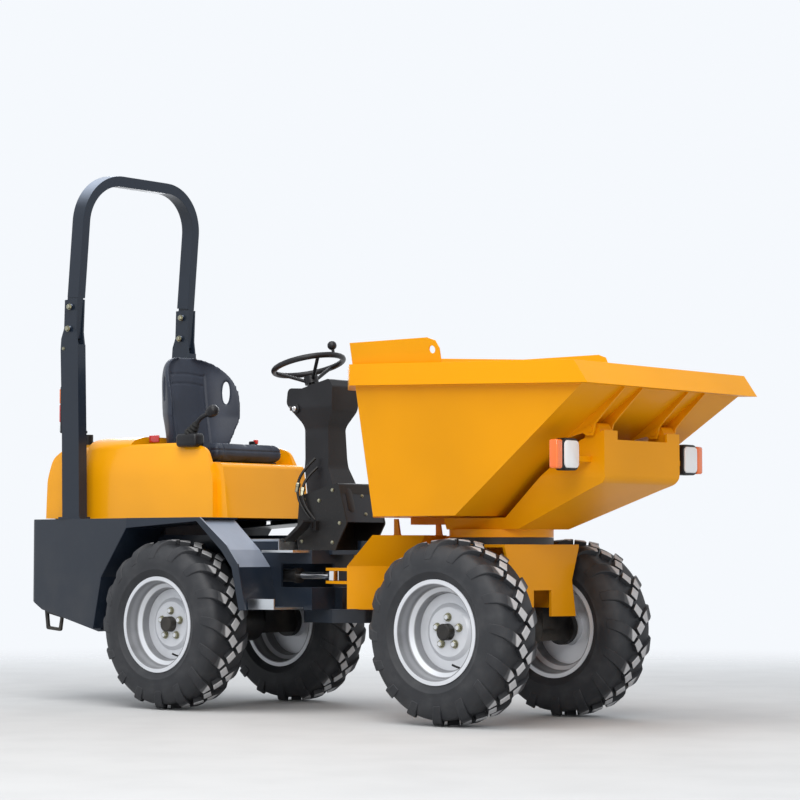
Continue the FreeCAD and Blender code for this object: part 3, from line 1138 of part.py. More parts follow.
doc.recompute()
for thing in doc.Objects:
    if "Invalid" in thing.State or "Error" in thing.State:
        raise RuntimeError("%s failed: %s" % (thing.Name, thing.State))
os.makedirs("parts", exist_ok=True)
for thing in NODES:
    shape = thing.Shape
    if shape.isNull() or not shape.isValid():
        raise RuntimeError("%s has no valid shape" % thing.Label)
    shape.exportStep(os.path.join("parts", thing.Label + ".step"))
print(len(NODES), "sub-parts")
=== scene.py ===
# %% [markdown]
# # A site dumper, dressed for its portrait
#
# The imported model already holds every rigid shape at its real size: plates, wheels, skip and cylinders.
# This lesson gives those shapes their finishes and adds what is too fine for a construction model, such as
# tread blocks, hexagon nuts, lamp lenses and a seat that looks soft.
# The first step loads the model as a fixed frame and notes its box, because the dressed machine has to stay
# inside it.

# %% Load the frame
import math
import bpy
import bmesh
from mathutils import Matrix, Vector


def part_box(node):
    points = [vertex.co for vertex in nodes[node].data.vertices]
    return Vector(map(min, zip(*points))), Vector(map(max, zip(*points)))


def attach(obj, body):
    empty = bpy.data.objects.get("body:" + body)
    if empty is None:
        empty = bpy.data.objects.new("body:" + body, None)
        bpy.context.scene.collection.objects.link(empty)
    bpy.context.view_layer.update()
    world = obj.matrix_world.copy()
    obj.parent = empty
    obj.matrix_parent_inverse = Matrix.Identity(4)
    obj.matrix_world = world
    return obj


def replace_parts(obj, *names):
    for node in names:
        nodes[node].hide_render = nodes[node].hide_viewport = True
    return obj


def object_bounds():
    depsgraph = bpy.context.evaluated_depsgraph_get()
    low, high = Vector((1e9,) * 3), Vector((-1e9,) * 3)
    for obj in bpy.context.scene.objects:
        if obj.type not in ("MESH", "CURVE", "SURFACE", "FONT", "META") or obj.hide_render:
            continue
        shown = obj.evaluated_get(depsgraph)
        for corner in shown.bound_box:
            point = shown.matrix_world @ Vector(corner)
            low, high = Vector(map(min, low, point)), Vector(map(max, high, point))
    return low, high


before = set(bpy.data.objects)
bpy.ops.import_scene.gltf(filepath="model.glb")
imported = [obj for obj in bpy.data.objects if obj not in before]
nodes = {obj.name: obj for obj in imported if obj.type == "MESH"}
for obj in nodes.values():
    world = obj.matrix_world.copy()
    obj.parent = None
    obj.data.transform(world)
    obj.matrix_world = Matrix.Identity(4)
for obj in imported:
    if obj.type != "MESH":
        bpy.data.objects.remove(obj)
cad_low, cad_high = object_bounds()
print("model box", [round(v, 3) for v in cad_low], [round(v, 3) for v in cad_high])

# %% [markdown]
# The camera stands where the photographer stood for the three-quarter view: low, ahead of the machine and on
# its right. A long lens keeps the near wheel from swelling. The numbers come from matching known points of
# the machine, such as wheel centres and hoop corners, to where they lie in the picture.

# %% Camera
CAMERA_AT = Vector((7.3136, -8.0804, 0.7164))
CAMERA_YAW = 0.7109
CAMERA_PITCH = 0.0610
FOCAL_PIXELS = 2439.0
IMAGE_PIXELS = 800.0
SENSOR_MM = 36.0

looking = Vector((-math.sin(CAMERA_YAW) * math.cos(CAMERA_PITCH),
                  math.cos(CAMERA_YAW) * math.cos(CAMERA_PITCH),
                  math.sin(CAMERA_PITCH)))
camera_data = bpy.data.cameras.new("portrait_camera")
camera_data.sensor_width = SENSOR_MM
camera_data.lens = FOCAL_PIXELS / IMAGE_PIXELS * SENSOR_MM
camera_data.clip_end = 200
camera = bpy.data.objects.new("portrait_camera", camera_data)
camera.location = CAMERA_AT
camera.rotation_euler = looking.to_track_quat("-Z", "Y").to_euler()
bpy.context.scene.collection.objects.link(camera)
bpy.context.scene.camera = camera
print("lens", round(camera_data.lens, 1), "mm")

# %% [markdown]
# Finishes are sums of noise, place and colour. Wiring each Math node by hand hides the idea, so one small
# class wraps a node's output and lets Python's own operators add the nodes. A second class is the bench on
# which one finish is mixed: its single method adds any other kind of node.

# %% Shader sums in plain Python
class Wire:
    """The output of a shader node, for use in sums."""

    def __init__(self, bench, socket):
        self.bench = bench
        self.socket = socket

    def math(self, operation, first, second=0.0):
        return self.bench.add("ShaderNodeMath", {"operation": operation}, first, second)

    def __add__(self, other):
        return self.math("ADD", self, other)

    def __radd__(self, other):
        return self.math("ADD", other, self)

    def __sub__(self, other):
        return self.math("SUBTRACT", self, other)

    def __rsub__(self, other):
        return self.math("SUBTRACT", other, self)

    def __mul__(self, other):
        return self.math("MULTIPLY", self, other)

    def __rmul__(self, other):
        return self.math("MULTIPLY", other, self)

    def __truediv__(self, other):
        return self.math("DIVIDE", self, other)

    def __rtruediv__(self, other):
        return self.math("DIVIDE", other, self)

    def __pow__(self, other):
        return self.math("POWER", self, other)

    def __abs__(self):
        return self.math("ABSOLUTE", self)

    def ramp(self, low, high):
        """0 below low, 1 above high, smooth between."""
        settings = {"interpolation_type": "SMOOTHSTEP", "clamp": True}
        return self.bench.add("ShaderNodeMapRange", settings, self, low, high, 0.0, 1.0)


class Bench:
    """One material, with its nodes added by a single method."""

    def __init__(self, name):
        self.material = bpy.data.materials.new(name)
        self.material.use_nodes = True
        self.tree = self.material.node_tree
        self.shader = self.tree.nodes["Principled BSDF"]

    def add(self, kind, settings=None, *inputs, out=0, **named):
        """Adds a node. Settings come first, then its sockets by order or by name, as numbers or wires."""
        node = self.tree.nodes.new(kind)
        for key, value in (settings or {}).items():
            setattr(node, key, value)
        pairs = list(enumerate(inputs)) + [(key.replace("_", " "), value) for key, value in named.items()]
        for key, value in pairs:
            self.join(node.inputs[key], value)
        return Wire(self, node.outputs[out])

    def join(self, socket, value):
        if isinstance(value, Wire):
            self.tree.links.new(value.socket, socket)
        elif value is not None:
            if hasattr(value, "__len__") and len(value) == 3 and socket.type == "RGBA":
                value = (*value, 1.0)
            socket.default_value = value

    def blend(self, share, first, second):
        """One colour over another."""
        node = self.tree.nodes.new("ShaderNodeMix")
        node.data_type = "RGBA"
        for index, value in ((0, share), (6, first), (7, second)):
            self.join(node.inputs[index], value)
        return Wire(self, node.outputs[2])

    def place(self):
        """A point on the piece, in metres, which stays with the piece when it moves."""
        return self.add("ShaderNodeTexCoord", out="Object")

    def part(self, where, letter):
        """One coordinate of a point."""
        return self.add("ShaderNodeSeparateXYZ", None, where, out=letter)

    def noise(self, where, scale, detail=3.0, stretch=None):
        if stretch:
            where = self.add("ShaderNodeVectorMath", {"operation": "MULTIPLY"}, where, stretch)
        return self.add("ShaderNodeTexNoise", None, Vector=where, Scale=scale, Detail=detail)

    def bump(self, height, strength, distance):
        return self.add("ShaderNodeBump", None, Strength=strength, Distance=distance, Height=height)

    def finish(self, **sockets):
        """Sets the shader's own sockets. A wire is linked and a number is written as it is."""
        for key, value in sockets.items():
            self.join(self.shader.inputs[key.replace("_", " ")], value)
        return self.material


print("shader bench ready")

# %% [markdown]
# The machine is sprayed in two coats: a warm amber on the skip, the front frame and the hood, and a dark
# blue-grey on the rear chassis and the hoop. Sprayed paint has a faint orange-peel ripple, a clear gloss, and
# a film of pale dust low down, where the wheels throw it. The ripple is a bump of fine noise, and the dust is
# a paler colour that thickens towards the ground. Faces that look up also carry a painted reflection of the
# sky, a pale blue that is strongest on the dark coat.

# %% Paints
DUST = (0.42, 0.37, 0.30)
DUST_FULL_Z = 0.25
DUST_NONE_Z = 1.05
# A pale sky blue, painted on faces that look up as a reflection of the sky.
SKY_REFLECTION_COLOUR = (0.36, 0.42, 0.53)


def paint(name, colour, roughness, coat, dust, gloss, sky_reflection=0.0):
    """Sprayed paint. Gloss is its mirror share; the last value is painted sky reflection on upward faces."""
    bench = Bench(name)
    where = bench.place()
    height = bench.part(where, "Z")
    upward = bench.part(bench.add("ShaderNodeTexCoord", out="Normal"), "Z")
    cloud = bench.noise(where, 5.0, 5.0)
    tint = bench.blend(bench.noise(where, 1.7, 2.0).ramp(0.3, 0.7), colour, [c * 0.90 for c in colour])
    film = (1.0 - height.ramp(DUST_FULL_Z, DUST_NONE_Z)) * cloud.ramp(0.35, 0.75) * dust
    speckle = bench.noise(where, 160.0, 2.0).ramp(0.62, 0.80) * (dust * 0.5)
    # Painted reflection: faces that look up are blended towards the pale sky blue, most on the dark coat.
    painted_reflection = upward.ramp(0.25, 0.85) * (0.7 + cloud * 0.6) * sky_reflection
    bench.finish(
        Base_Color=bench.blend(painted_reflection, bench.blend(film + speckle, tint, DUST), SKY_REFLECTION_COLOUR),
        Roughness=roughness + film * 0.5 + (cloud - 0.5) * 0.10,
        Coat_Weight=coat,
        Coat_Roughness=0.08,
        Normal=bench.bump(bench.noise(where, 260.0, 2.0), 0.05, 0.002))
    bench.shader.inputs["Specular IOR Level"].default_value = gloss
    return bench.material


amber_paint = paint("amber_paint", (0.87, 0.352, 0.000), 0.42, 0.06, 0.05, 0.16)
hood_amber = paint("hood_amber", (0.95, 0.395, 0.001), 0.30, 0.30, 0.02, 0.25)
slate_paint = paint("slate_paint", (0.011, 0.018, 0.031), 0.34, 0.12, 0.05, 0.30, 0.75)
black_steel = paint("black_steel", (0.010, 0.010, 0.011), 0.44, 0.04, 0.14, 0.30)
print("paints", [m.name for m in (amber_paint, hood_amber, slate_paint, black_steel)])

# %% [markdown]
# The column cover, the lamp housings and the knobs are moulded plastic with a fine spark-eroded grain. The
# seat is sewn vinyl with a leather print: Voronoi cells give its pebbles. Both are nearly black, so the grain
# shows only where light grazes it.

# %% Plastics and vinyl
def grained(name, colour, roughness, cell, depth, kind="noise"):
    bench = Bench(name)
    where = bench.place()
    if kind == "pebble":
        grain = bench.add("ShaderNodeTexVoronoi", {"feature": "SMOOTH_F1"}, Vector=where, Scale=cell)
    else:
        grain = bench.noise(where, cell, 2.0)
    wear = bench.noise(where, 6.0, 4.0)
    bench.finish(
        Base_Color=bench.blend(wear.ramp(0.4, 0.8), colour, [c * 1.5 + 0.004 for c in colour]),
        Roughness=roughness + (wear - 0.5) * 0.15,
        Normal=bench.bump(grain, 0.35, depth))
    bench.shader.inputs["Specular IOR Level"].default_value = 0.30
    return bench.material


black_plastic = grained("black_plastic", (0.009, 0.009, 0.011), 0.38, 700.0, 0.0006)
seat_vinyl = grained("seat_vinyl", (0.022, 0.028, 0.044), 0.42, 420.0, 0.0010, "pebble")
rubber_trim = grained("rubber_trim", (0.010, 0.010, 0.010), 0.70, 300.0, 0.0008)
print("plastics", black_plastic.name, seat_vinyl.name, rubber_trim.name)

# %% [markdown]
# Bare metal shows in four places. The foot plate and the steps are bright sheet with faint rolling lines,
# the cylinder rods are hard chrome, the nuts are zinc plated with a yellow tinge, and the engine is a rough
# casting. Long thin noise, stretched along the sheet, stands for the rolling lines. The rims are silver
# paint with a little random grime and with painted shade, a dark line in the corner of each step, which the
# shader finds by the distance from the axle.

# %% Metals
def metal(name, colour, roughness, stretch, scale, depth):
    bench = Bench(name)
    where = bench.place()
    lines = bench.noise(where, scale, 4.0, stretch)
    stain = bench.noise(where, 9.0, 4.0).ramp(0.35, 0.75)
    bench.finish(
        Base_Color=bench.blend(stain, colour, [c * 0.8 for c in colour]),
        Metallic=1.0,
        Roughness=roughness + (lines - 0.5) * 0.3,
        Normal=bench.bump(lines, 0.2, depth))
    return bench.material


bright_sheet = metal("bright_sheet", (0.62, 0.65, 0.68), 0.34, (0.4, 12.0, 12.0), 14.0, 0.0008)
chrome_rod = metal("chrome_rod", (0.82, 0.82, 0.83), 0.10, (1.0, 1.0, 1.0), 60.0, 0.0001)
zinc_nut = metal("zinc_nut", (0.36, 0.35, 0.26), 0.34, (1.0, 1.0, 1.0), 90.0, 0.0004)


RIM_RADIUS = 0.214
RIM_STEPS = (0.1935, 0.1855, 0.1605)
LINE_CORE = 0.0015
LINE_EDGE = 0.0060
RIM_COLOUR = (0.72, 0.74, 0.78)
RIM_STEP_SHADE_COLOUR = (0.08, 0.08, 0.085)


def middle_x(node_name):
    low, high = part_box(node_name)
    return (low.x + high.x) / 2


def silver_rim():
    """Silver paint with painted shade in every step of the rim, found by the distance from the nearer axle.
    """
    bench = Bench("rim_silver")
    where = bench.place()
    x = bench.part(where, "X")
    z = bench.part(where, "Z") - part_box("front_left_rim")[0].z - RIM_RADIUS
    to_rear = abs(x - middle_x("rear_left_rim"))
    to_front = abs(x - middle_x("front_left_rim"))
    nearer = to_rear.math("MINIMUM", to_rear, to_front)
    radius = (nearer * nearer + z * z) ** 0.5
    cloud = bench.noise(where, 6.0, 4.0)
    # Painted shade: a dark line where each step of the rim turns in. The cloud below adds random grime.
    line = 0.0
    for step in RIM_STEPS:
        line = (1.0 - abs(radius - step).ramp(LINE_CORE, LINE_EDGE)) + line
    shade_and_grime = line * 0.75 + cloud.ramp(0.5, 0.9) * 0.2
    bench.finish(
        Base_Color=bench.blend(shade_and_grime, RIM_COLOUR, RIM_STEP_SHADE_COLOUR),
        Metallic=0.30,
        Roughness=0.36 + cloud * 0.10,
        Normal=bench.bump(bench.noise(where, 200.0, 2.0), 0.10, 0.0006))
    return bench.material


rim_silver = silver_rim()
cast_block = metal("cast_block", (0.10, 0.10, 0.11), 0.62, (1.0, 1.0, 1.0), 120.0, 0.0020)
print("metals", rim_silver.name, bright_sheet.name, chrome_rod.name, zinc_nut.name, cast_block.name)

# %% [markdown]
# Tyre rubber is almost black where it is clean. On a machine that stands on a dry yard, the blocks in the
# middle of the tread are worn pale, and the shoulders and side walls stay dark. Each tyre is modelled round
# its own centre, so the shader knows how far a point is from the axle and from the middle of the tread.

# %% Rubber and lenses
TYRE_RADIUS = 0.380
WORN_FROM = TYRE_RADIUS - 0.0045
WORN_TO = TYRE_RADIUS - 0.0020
CROWN = 0.45
PALE_HALF = 0.052
PALE_END = 0.064
RUBBER_COLOUR = (0.017, 0.0185, 0.0225)
WORN_COLOUR = (0.54, 0.54, 0.55)


def tyre_rubber():
    """Black rubber, pale on the tops of the middle blocks. Crown allows for the curve of the tread."""
    bench = Bench("tyre_rubber")
    where = bench.place()
    x = bench.part(where, "X")
    y = bench.part(where, "Y")
    z = bench.part(where, "Z")
    radius = (x * x + z * z) ** 0.5
    cloud = bench.noise(where, 11.0, 5.0)
    top = (radius + y * y * CROWN).ramp(WORN_FROM, WORN_TO)
    middle = 1.0 - abs(y).ramp(PALE_HALF, PALE_END) * 0.90
    film = cloud.ramp(0.40, 0.80) * 0.05
    worn = top * middle * (0.75 + cloud * 0.4) + film
    bench.finish(
        Base_Color=bench.blend(worn, RUBBER_COLOUR, WORN_COLOUR),
        Roughness=0.50 + cloud * 0.25,
        Normal=bench.bump(bench.noise(where, 420.0, 3.0), 0.18, 0.0008))
    return bench.material


def lens(name, colour, roughness, flute):
    """Moulded plastic with fine upright flutes under a gloss."""
    bench = Bench(name)
    bands = {"wave_type": "BANDS", "bands_direction": "Y"}
    flutes = bench.add("ShaderNodeTexWave", bands, Vector=bench.place(), Scale=flute)
    bench.finish(
        Base_Color=bench.blend(flutes.ramp(0.2, 0.9), colour, [min(1.0, c * 1.25 + 0.02) for c in colour]),
        Roughness=roughness,
        Coat_Weight=0.8,
        Normal=bench.bump(flutes, 0.4, 0.0015))
    return bench.material


tyre_black = tyre_rubber()
lamp_orange = lens("lamp_orange", (0.95, 0.16, 0.010), 0.16, 60.0)
lamp_red = lens("lamp_red", (0.55, 0.012, 0.008), 0.16, 60.0)
lamp_white = lens("lamp_white", (0.74, 0.75, 0.76), 0.14, 60.0)
headlamp_glass = lens("headlamp_glass", (0.80, 0.82, 0.84), 0.06, 40.0)
print("rubber and lenses ready")

# %% [markdown]
# Every pressed or cut plate on the real machine has a small radius that catches a thread of light. The
# model's plates are sharp, so each rigid node gets a narrow Bevel modifier, after a Weld that joins the
# vertices the file format split. Modifiers leave the model's own mesh as it is.

# %% Dress the model's own nodes
PAINTED = {
    "amber": (amber_paint, 0.0022, "swivel_console front_frame skip lift_channel"),
    "hood": (hood_amber, 0.0040, "seat_console engine_bonnet"),
    "slate": (slate_paint, 0.0022, "rear_frame rear_skirt rear_mudguards rops_posts bonnet_hinges tow_hitch"),
    "hoop": (slate_paint, 0.0100, "rops_hoop"),
    "black": (black_steel, 0.0018, "rear_axle front_axle seat_frame column_base steering_shaft pedals "
                                   "tie_downs slew_ring steer_barrel tip_barrel"),
    "plastic": (black_plastic, 0.0040, "steering_column control_lever filler_cap"),
    "wheel": (black_plastic, 0.0010, "steering_wheel"),
    "bright": (bright_sheet, 0.0012, "foot_plate steps"),
    "chrome": (chrome_rod, 0.0010, "steer_rod tip_rod"),
    "block": (cast_block, 0.0080, "engine_block"),
    "rim": (rim_silver, 0.0012, "rear_left_rim rear_right_rim front_left_rim front_right_rim"),
    "seat": (seat_vinyl, 0.0100, "seat_back seat_cushion"),
    "lamp": (black_plastic, 0.0040, "front_lamps tail_lamps"),
    "rubber": (tyre_black, 0.0020, "rear_left_tyre rear_right_tyre front_left_tyre front_right_tyre"),
}
BEVEL_ANGLE = math.radians(32)


def soften(node, width):
    """Joins split vertices, rounds the sharp edges and evens out the shading."""
    weld = node.modifiers.new("join", "WELD")
    weld.merge_threshold = 0.00005
    bevel = node.modifiers.new("round", "BEVEL")
    bevel.width = width
    bevel.segments = 2
    bevel.limit_method = "ANGLE"
    bevel.angle_limit = BEVEL_ANGLE
    bevel.use_clamp_overlap = True
    shade = node.modifiers.new("shade", "WEIGHTED_NORMAL")
    shade.keep_sharp = True


for material, width, names in PAINTED.values():
    for name in names.split():
        node = nodes[name]
        node.data.materials.clear()
        node.data.materials.append(material)
        soften(node, width)
print("dressed", sum(len(row[2].split()) for row in PAINTED.values()), "nodes of", len(nodes))

# %% [markdown]
# The helpers below make the scene's own pieces. Each builds its mesh in plain mesh code, links it at a place
# in the machine's frame, gives it a finish and lets it ride on the body that carries it.

# %% Helpers for new pieces
CORNER_STEPS = 6


def link_mesh(name, mesh_code, material, at=(0, 0, 0)):
    mesh = bpy.data.meshes.new(name)
    mesh_code.to_mesh(mesh)
    mesh_code.free()
    piece = bpy.data.objects.new(name, mesh)
    piece.location = at
    bpy.context.scene.collection.objects.link(piece)
    mesh.materials.append(material)
    return piece


def smooth(piece, degrees):
    """Smooth shading with creases kept above an angle."""
    for face in piece.data.polygons:
        face.use_smooth = True
    piece.data.set_sharp_from_angle(angle=math.radians(degrees))
    return piece


def facing(axis):
    """Turns the z axis of a piece to a direction."""
    return Vector(axis).to_track_quat("Z", "Y").to_matrix().to_4x4()


def cone(code, turn, start, length, radius, end_radius, segments):
    """A closed cone along the z axis of a turn, added to a mesh that is being built."""
    place = turn @ Matrix.Translation((0, 0, start + length / 2))
    bmesh.ops.create_cone(code, cap_ends=True, segments=segments, radius1=radius, radius2=end_radius,
                          depth=length, matrix=place)


def hexagon_bolt(code, at, axis, size):
    """A hexagon head on its washer, added to a mesh that is being built."""
    turn = Matrix.Translation(at) @ facing(axis)
    washer = size * 0.22
    height = size * 0.65
    cone(code, turn, 0.0, washer, size * 1.12, size * 1.06, 20)
    cone(code, turn, washer, height * 0.8, size * 0.88, size * 0.88, 6)
    cone(code, turn, washer + height * 0.8, height * 0.2, size * 0.88, size * 0.70, 6)


def bolts(name, body, rows):
    """Bolt heads on one body. Each row is (x, y, z), the way it faces, and its size."""
    code = bmesh.new()
    for at, axis, size in rows:
        hexagon_bolt(code, Vector(at), axis, size)
    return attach(smooth(link_mesh(name, code, zinc_nut), 30), body)


def tube(name, body, points, radius, material):
    """A round bar or pipe along a smooth line."""
    curve = bpy.data.curves.new(name, "CURVE")
    curve.dimensions = "3D"
    curve.bevel_depth = radius
    curve.bevel_resolution = 6
    curve.use_fill_caps = True
    spline = curve.splines.new("NURBS")
    spline.points.add(len(points) - 1)
    for slot, point in zip(spline.points, points):
        slot.co = (*point, 1.0)
    spline.order_u = 3
    spline.use_endpoint_u = True
    curve.materials.append(material)
    piece = bpy.data.objects.new(name, curve)
    bpy.context.scene.collection.objects.link(piece)
    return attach(piece, body)


def skin(code, rings, closed=True):
    """Joins closed rings of vertices by quads, one ring to the next, and closes both ends."""
    for first, second in zip(rings, rings[1:]):
        for index in range(len(first)):
            following = (index + 1) % len(first)
            code.faces.new([first[index], first[following], second[following], second[index]])
    if closed:
        code.faces.new(rings[0][::-1])
        code.faces.new(rings[-1])


def turned(name, body, start, end, profile, material, segments=28, degrees=35):
    """A turned piece from start to end. The profile gives (share of the length, radius)."""
    start, end = Vector(start), Vector(end)
    turn = Matrix.Translation(start) @ facing(end - start)
    length = (end - start).length
    code = bmesh.new()
    rings = []
    for share, radius in profile:
        ring = []
        for step in range(segments):
            angle = 2 * math.pi * step / segments
            point = Vector((radius * math.cos(angle), radius * math.sin(angle), share * length))
            ring.append(code.verts.new(turn @ point))
        rings.append(ring)
    skin(code, rings)
    bmesh.ops.recalc_face_normals(code, faces=code.faces)
    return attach(smooth(link_mesh(name, code, material), degrees), body)


def rounded_box(code, low, high, radius, segments):
    """A block with rounded edges, added to a mesh that is being built."""
    low, high = Vector(low), Vector(high)
    made = bmesh.ops.create_cube(code, size=1.0)
    for vertex in made["verts"]:
        share = vertex.co + Vector((0.5, 0.5, 0.5))
        vertex.co = Vector(low[i] + (high[i] - low[i]) * share[i] for i in range(3))
    edges = list({edge for vertex in made["verts"] for edge in vertex.link_edges})
    bmesh.ops.bevel(code, geom=edges, offset=radius, segments=segments, profile=0.5, affect="EDGES")


def rounded_plate(code, low, high, corner, edge):
    """A plate facing +X with rounded corners and a softened rim, added to a mesh that is being built."""
    low, high = Vector(low), Vector(high)
    steps = ((low.x, edge), (low.x + edge, 0.0), (high.x - edge, 0.0), (high.x - edge * 0.3, edge * 0.3),
             (high.x, edge))
    rings = []
    for x, inset in steps:
        ring = []
        reach = corner - inset
        for turn in range(4):
            centre_y = (high.y - corner) if turn in (0, 3) else (low.y + corner)
            centre_z = (high.z - corner) if turn in (0, 1) else (low.z + corner)
            for step in range(CORNER_STEPS + 1):
                angle = math.pi / 2 * (turn + step / CORNER_STEPS)
                y = centre_y + reach * math.cos(angle)
                z = centre_z + reach * math.sin(angle)
                ring.append(code.verts.new((x, y, z)))
        rings.append(ring)
    skin(code, rings)


def solid_box(name, body, low, high, radius, material, segments=3, degrees=50):
    """A block with rounded edges as a piece of its own."""
    code = bmesh.new()
    rounded_box(code, low, high, radius, segments)
    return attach(smooth(link_mesh(name, code, material), degrees), body)


print("helpers ready")

# %% [markdown]
# The tyres are what the eye meets first. The tread is a strip that repeats sixteen times on each half: a
# lozenge block that crosses the middle, a groove, and a bar that sweeps back over the shoulder and ends in a
# foot on the side wall. The two halves are half a pitch apart, so that the lozenges interlock. Each block is
# a strip of cross-sections from the table below, and its place round the tyre is measured along the tread,
# so the same table can be drawn flat on paper.

# %% Tyre shape
AXLE_Z = 0.380
PITCHES = 16
PITCH = 2 * math.pi * TYRE_RADIUS / PITCHES
GROOVE_DEPTH = 0.030
DRAFT = 0.0025
FOOT_FROM = 0.100
FOOT_SPAN = 0.030
FOOT_IN = 0.55
AROUND = 96
WORN_EDGE = 0.0028

# Carcass from the middle of the tread to the rim: across, and out from the axle.
CARCASS = [
    (0.0000, 0.3560), (0.0400, 0.3565), (0.0740, 0.3570), (0.0920, 0.3545), (0.1050, 0.3460),
    (0.1150, 0.3310), (0.1230, 0.3130), (0.1280, 0.2930), (0.1295, 0.2660), (0.1282, 0.2490),
    (0.1290, 0.2465), (0.1290, 0.2435), (0.1262, 0.2410), (0.1215, 0.2310), (0.1160, 0.2240),
    (0.1120, 0.2170), (0.1085, 0.2080), (0.1085, 0.2005)]

# Each row of a block: leading edge across and round, trailing edge across and round, top radius, depth.
LOZENGE = [
    (-0.0240, 0.0015, 0.0010, -0.0270, 0.3795, GROOVE_DEPTH),
    (-0.0065, 0.0195, 0.0175, -0.0070, 0.3797, GROOVE_DEPTH),
    (0.0080, 0.0350, 0.0325, 0.0100, 0.3792, GROOVE_DEPTH),
]
BAR = [
    (0.0205, 0.0490, 0.0445, 0.0215, 0.3786, GROOVE_DEPTH),
    (0.0420, 0.0680, 0.0640, 0.0320, 0.3776, GROOVE_DEPTH),
    (0.0680, 0.0860, 0.0800, 0.0410, 0.3752, GROOVE_DEPTH),
    (0.0900, 0.0985, 0.0940, 0.0500, 0.3690, 0.028),
    (0.1050, 0.1080, 0.1060, 0.0580, 0.3590, 0.026),
    (0.1160, 0.1160, 0.1165, 0.0660, 0.3430, 0.023),
    (0.1245, 0.1230, 0.1248, 0.0740, 0.3230, 0.018),
    (0.1290, 0.1290, 0.1291, 0.0820, 0.2980, 0.010),
]


def on_tyre(across, round_tread, radius):
    angle = round_tread / TYRE_RADIUS
    return Vector((radius * math.sin(angle), across, radius * math.cos(angle)))


def add_block(code, rows, side, start):
    """A block of the tread as a closed strip of cross-sections, wider at its foot."""
    rings = []
    for lead_y, lead_u, trail_y, trail_u, radius, depth in rows:
        way = Vector((lead_y - trail_y, lead_u - trail_u)).normalized() * DRAFT
        inward = FOOT_IN * max(0.0, (lead_y - FOOT_FROM) / FOOT_SPAN) * depth
        corners = []
        for y, u, flare in ((lead_y, lead_u, way), (trail_y, trail_u, -way)):
            top = on_tyre(side * y, start - u, radius)
            foot = on_tyre(side * (y - inward + flare.x), start - u - flare.y, radius - depth)
            corners.append((top, foot))
        (lead_top, lead_foot), (trail_top, trail_foot) = corners
        rings.append([code.verts.new(point) for point in (lead_foot, lead_top, trail_top, trail_foot)])
    skin(code, rings)


def tyre_mesh():
    code = bmesh.new()
    profile = [(y, r) for y, r in reversed(CARCASS)] + [(-y, r) for y, r in CARCASS[1:]]
    rings = []
    for step in range(AROUND):
        angle = 2 * math.pi * step / AROUND
        rings.append([code.verts.new((r * math.sin(angle), y, r * math.cos(angle))) for y, r in profile])
    skin(code, rings + rings[:1], closed=False)
    for side, start in ((1, 0.0), (-1, PITCH / 2)):
        for count in range(PITCHES):
            add_block(code, LOZENGE, side, start + count * PITCH)
            add_block(code, BAR, side, start + count * PITCH)
    bmesh.ops.recalc_face_normals(code, faces=code.faces)
    return code


tyre_shape = tyre_mesh()
print("tyre", len(tyre_shape.faces), "faces")
tyre_data = bpy.data.meshes.new("treaded_tyre")
tyre_shape.to_mesh(tyre_data)
tyre_shape.free()
tyre_data.materials.append(tyre_black)

WHEELS = [(end, hand) for end in ("rear", "front") for hand in ("left", "right")]
for end, hand in WHEELS:
    low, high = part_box(f"{end}_{hand}_tyre")
    tyre = bpy.data.objects.new(f"{end}_{hand}_treaded_tyre", tyre_data)
    tyre.location = (low + high) / 2
    bpy.context.scene.collection.objects.link(tyre)
    smooth(tyre, 34)
    bevel = tyre.modifiers.new("worn_edges", "BEVEL")
    bevel.width = WORN_EDGE
    bevel.segments = 2
    bevel.limit_method = "ANGLE"
    bevel.angle_limit = math.radians(40)
    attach(tyre, f"{end}_{hand}_wheel")
    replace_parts(tyre, f"{end}_{hand}_tyre")
print("tyres on", len(WHEELS), "wheels")

# %% [markdown]
# Each wheel is held by five nuts round a black hub cap. The nuts stand over the model's plain studs, and a
# short rubber valve leans out of the rim well.

# %% Wheel nuts, hub caps and valves
STUDS = 5
STUD_CIRCLE = 0.060
NUT_SIZE = 0.0165
NUT_OUT = 0.001
HALF_TRACK = 0.395
DISC_OUT = 0.024
CAP_SEGMENTS = 32
CAP_WIDE = 0.0345
CAP_RIM = 0.0338
CAP_TOP = 0.0290
CAP_LENGTH = 0.034
CAP_CHAMFER = 0.003
VALVE_ANGLE = math.radians(-62)
VALVE_CIRCLE = 0.160
VALVE_OUT = 0.022
VALVE_RADIUS = 0.0042
# How far the valve's line has come out of the wheel, and in towards the axle.
VALVE_LINE = ((0.0, 0.0), (0.018, 0.004), (0.036, 0.014))

for end, hand in WHEELS:
    wheel = f"{end}_{hand}_wheel"
    side = 1 if hand == "left" else -1
    face = Vector((middle_x(f"{end}_{hand}_rim"), side * (HALF_TRACK + DISC_OUT), AXLE_Z))
    way = Vector((0, side, 0))
    rows = []
    for count in range(STUDS):
        angle = math.radians(90 + 360 / STUDS * count)
        stud = Vector((STUD_CIRCLE * math.cos(angle), 0, STUD_CIRCLE * math.sin(angle)))
        rows.append((face + way * NUT_OUT + stud, way, NUT_SIZE))
    bolts(f"{wheel}_nuts", wheel, rows)
    code = bmesh.new()
    turn = Matrix.Translation(face) @ facing(way)
    cone(code, turn, 0.0, CAP_LENGTH, CAP_WIDE, CAP_RIM, CAP_SEGMENTS)
    cone(code, turn, CAP_LENGTH, CAP_CHAMFER, CAP_RIM, CAP_TOP, CAP_SEGMENTS)
    hub = smooth(link_mesh(f"{end}_{hand}_hub_cap", code, black_steel), 30)
    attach(hub, wheel)
    out = Vector((math.cos(VALVE_ANGLE), 0, math.sin(VALVE_ANGLE)))
    root = face + way * VALVE_OUT + out * VALVE_CIRCLE
    tube(f"{end}_{hand}_valve", wheel, [root + way * far - out * near for far, near in VALVE_LINE],
         VALVE_RADIUS, rubber_trim)
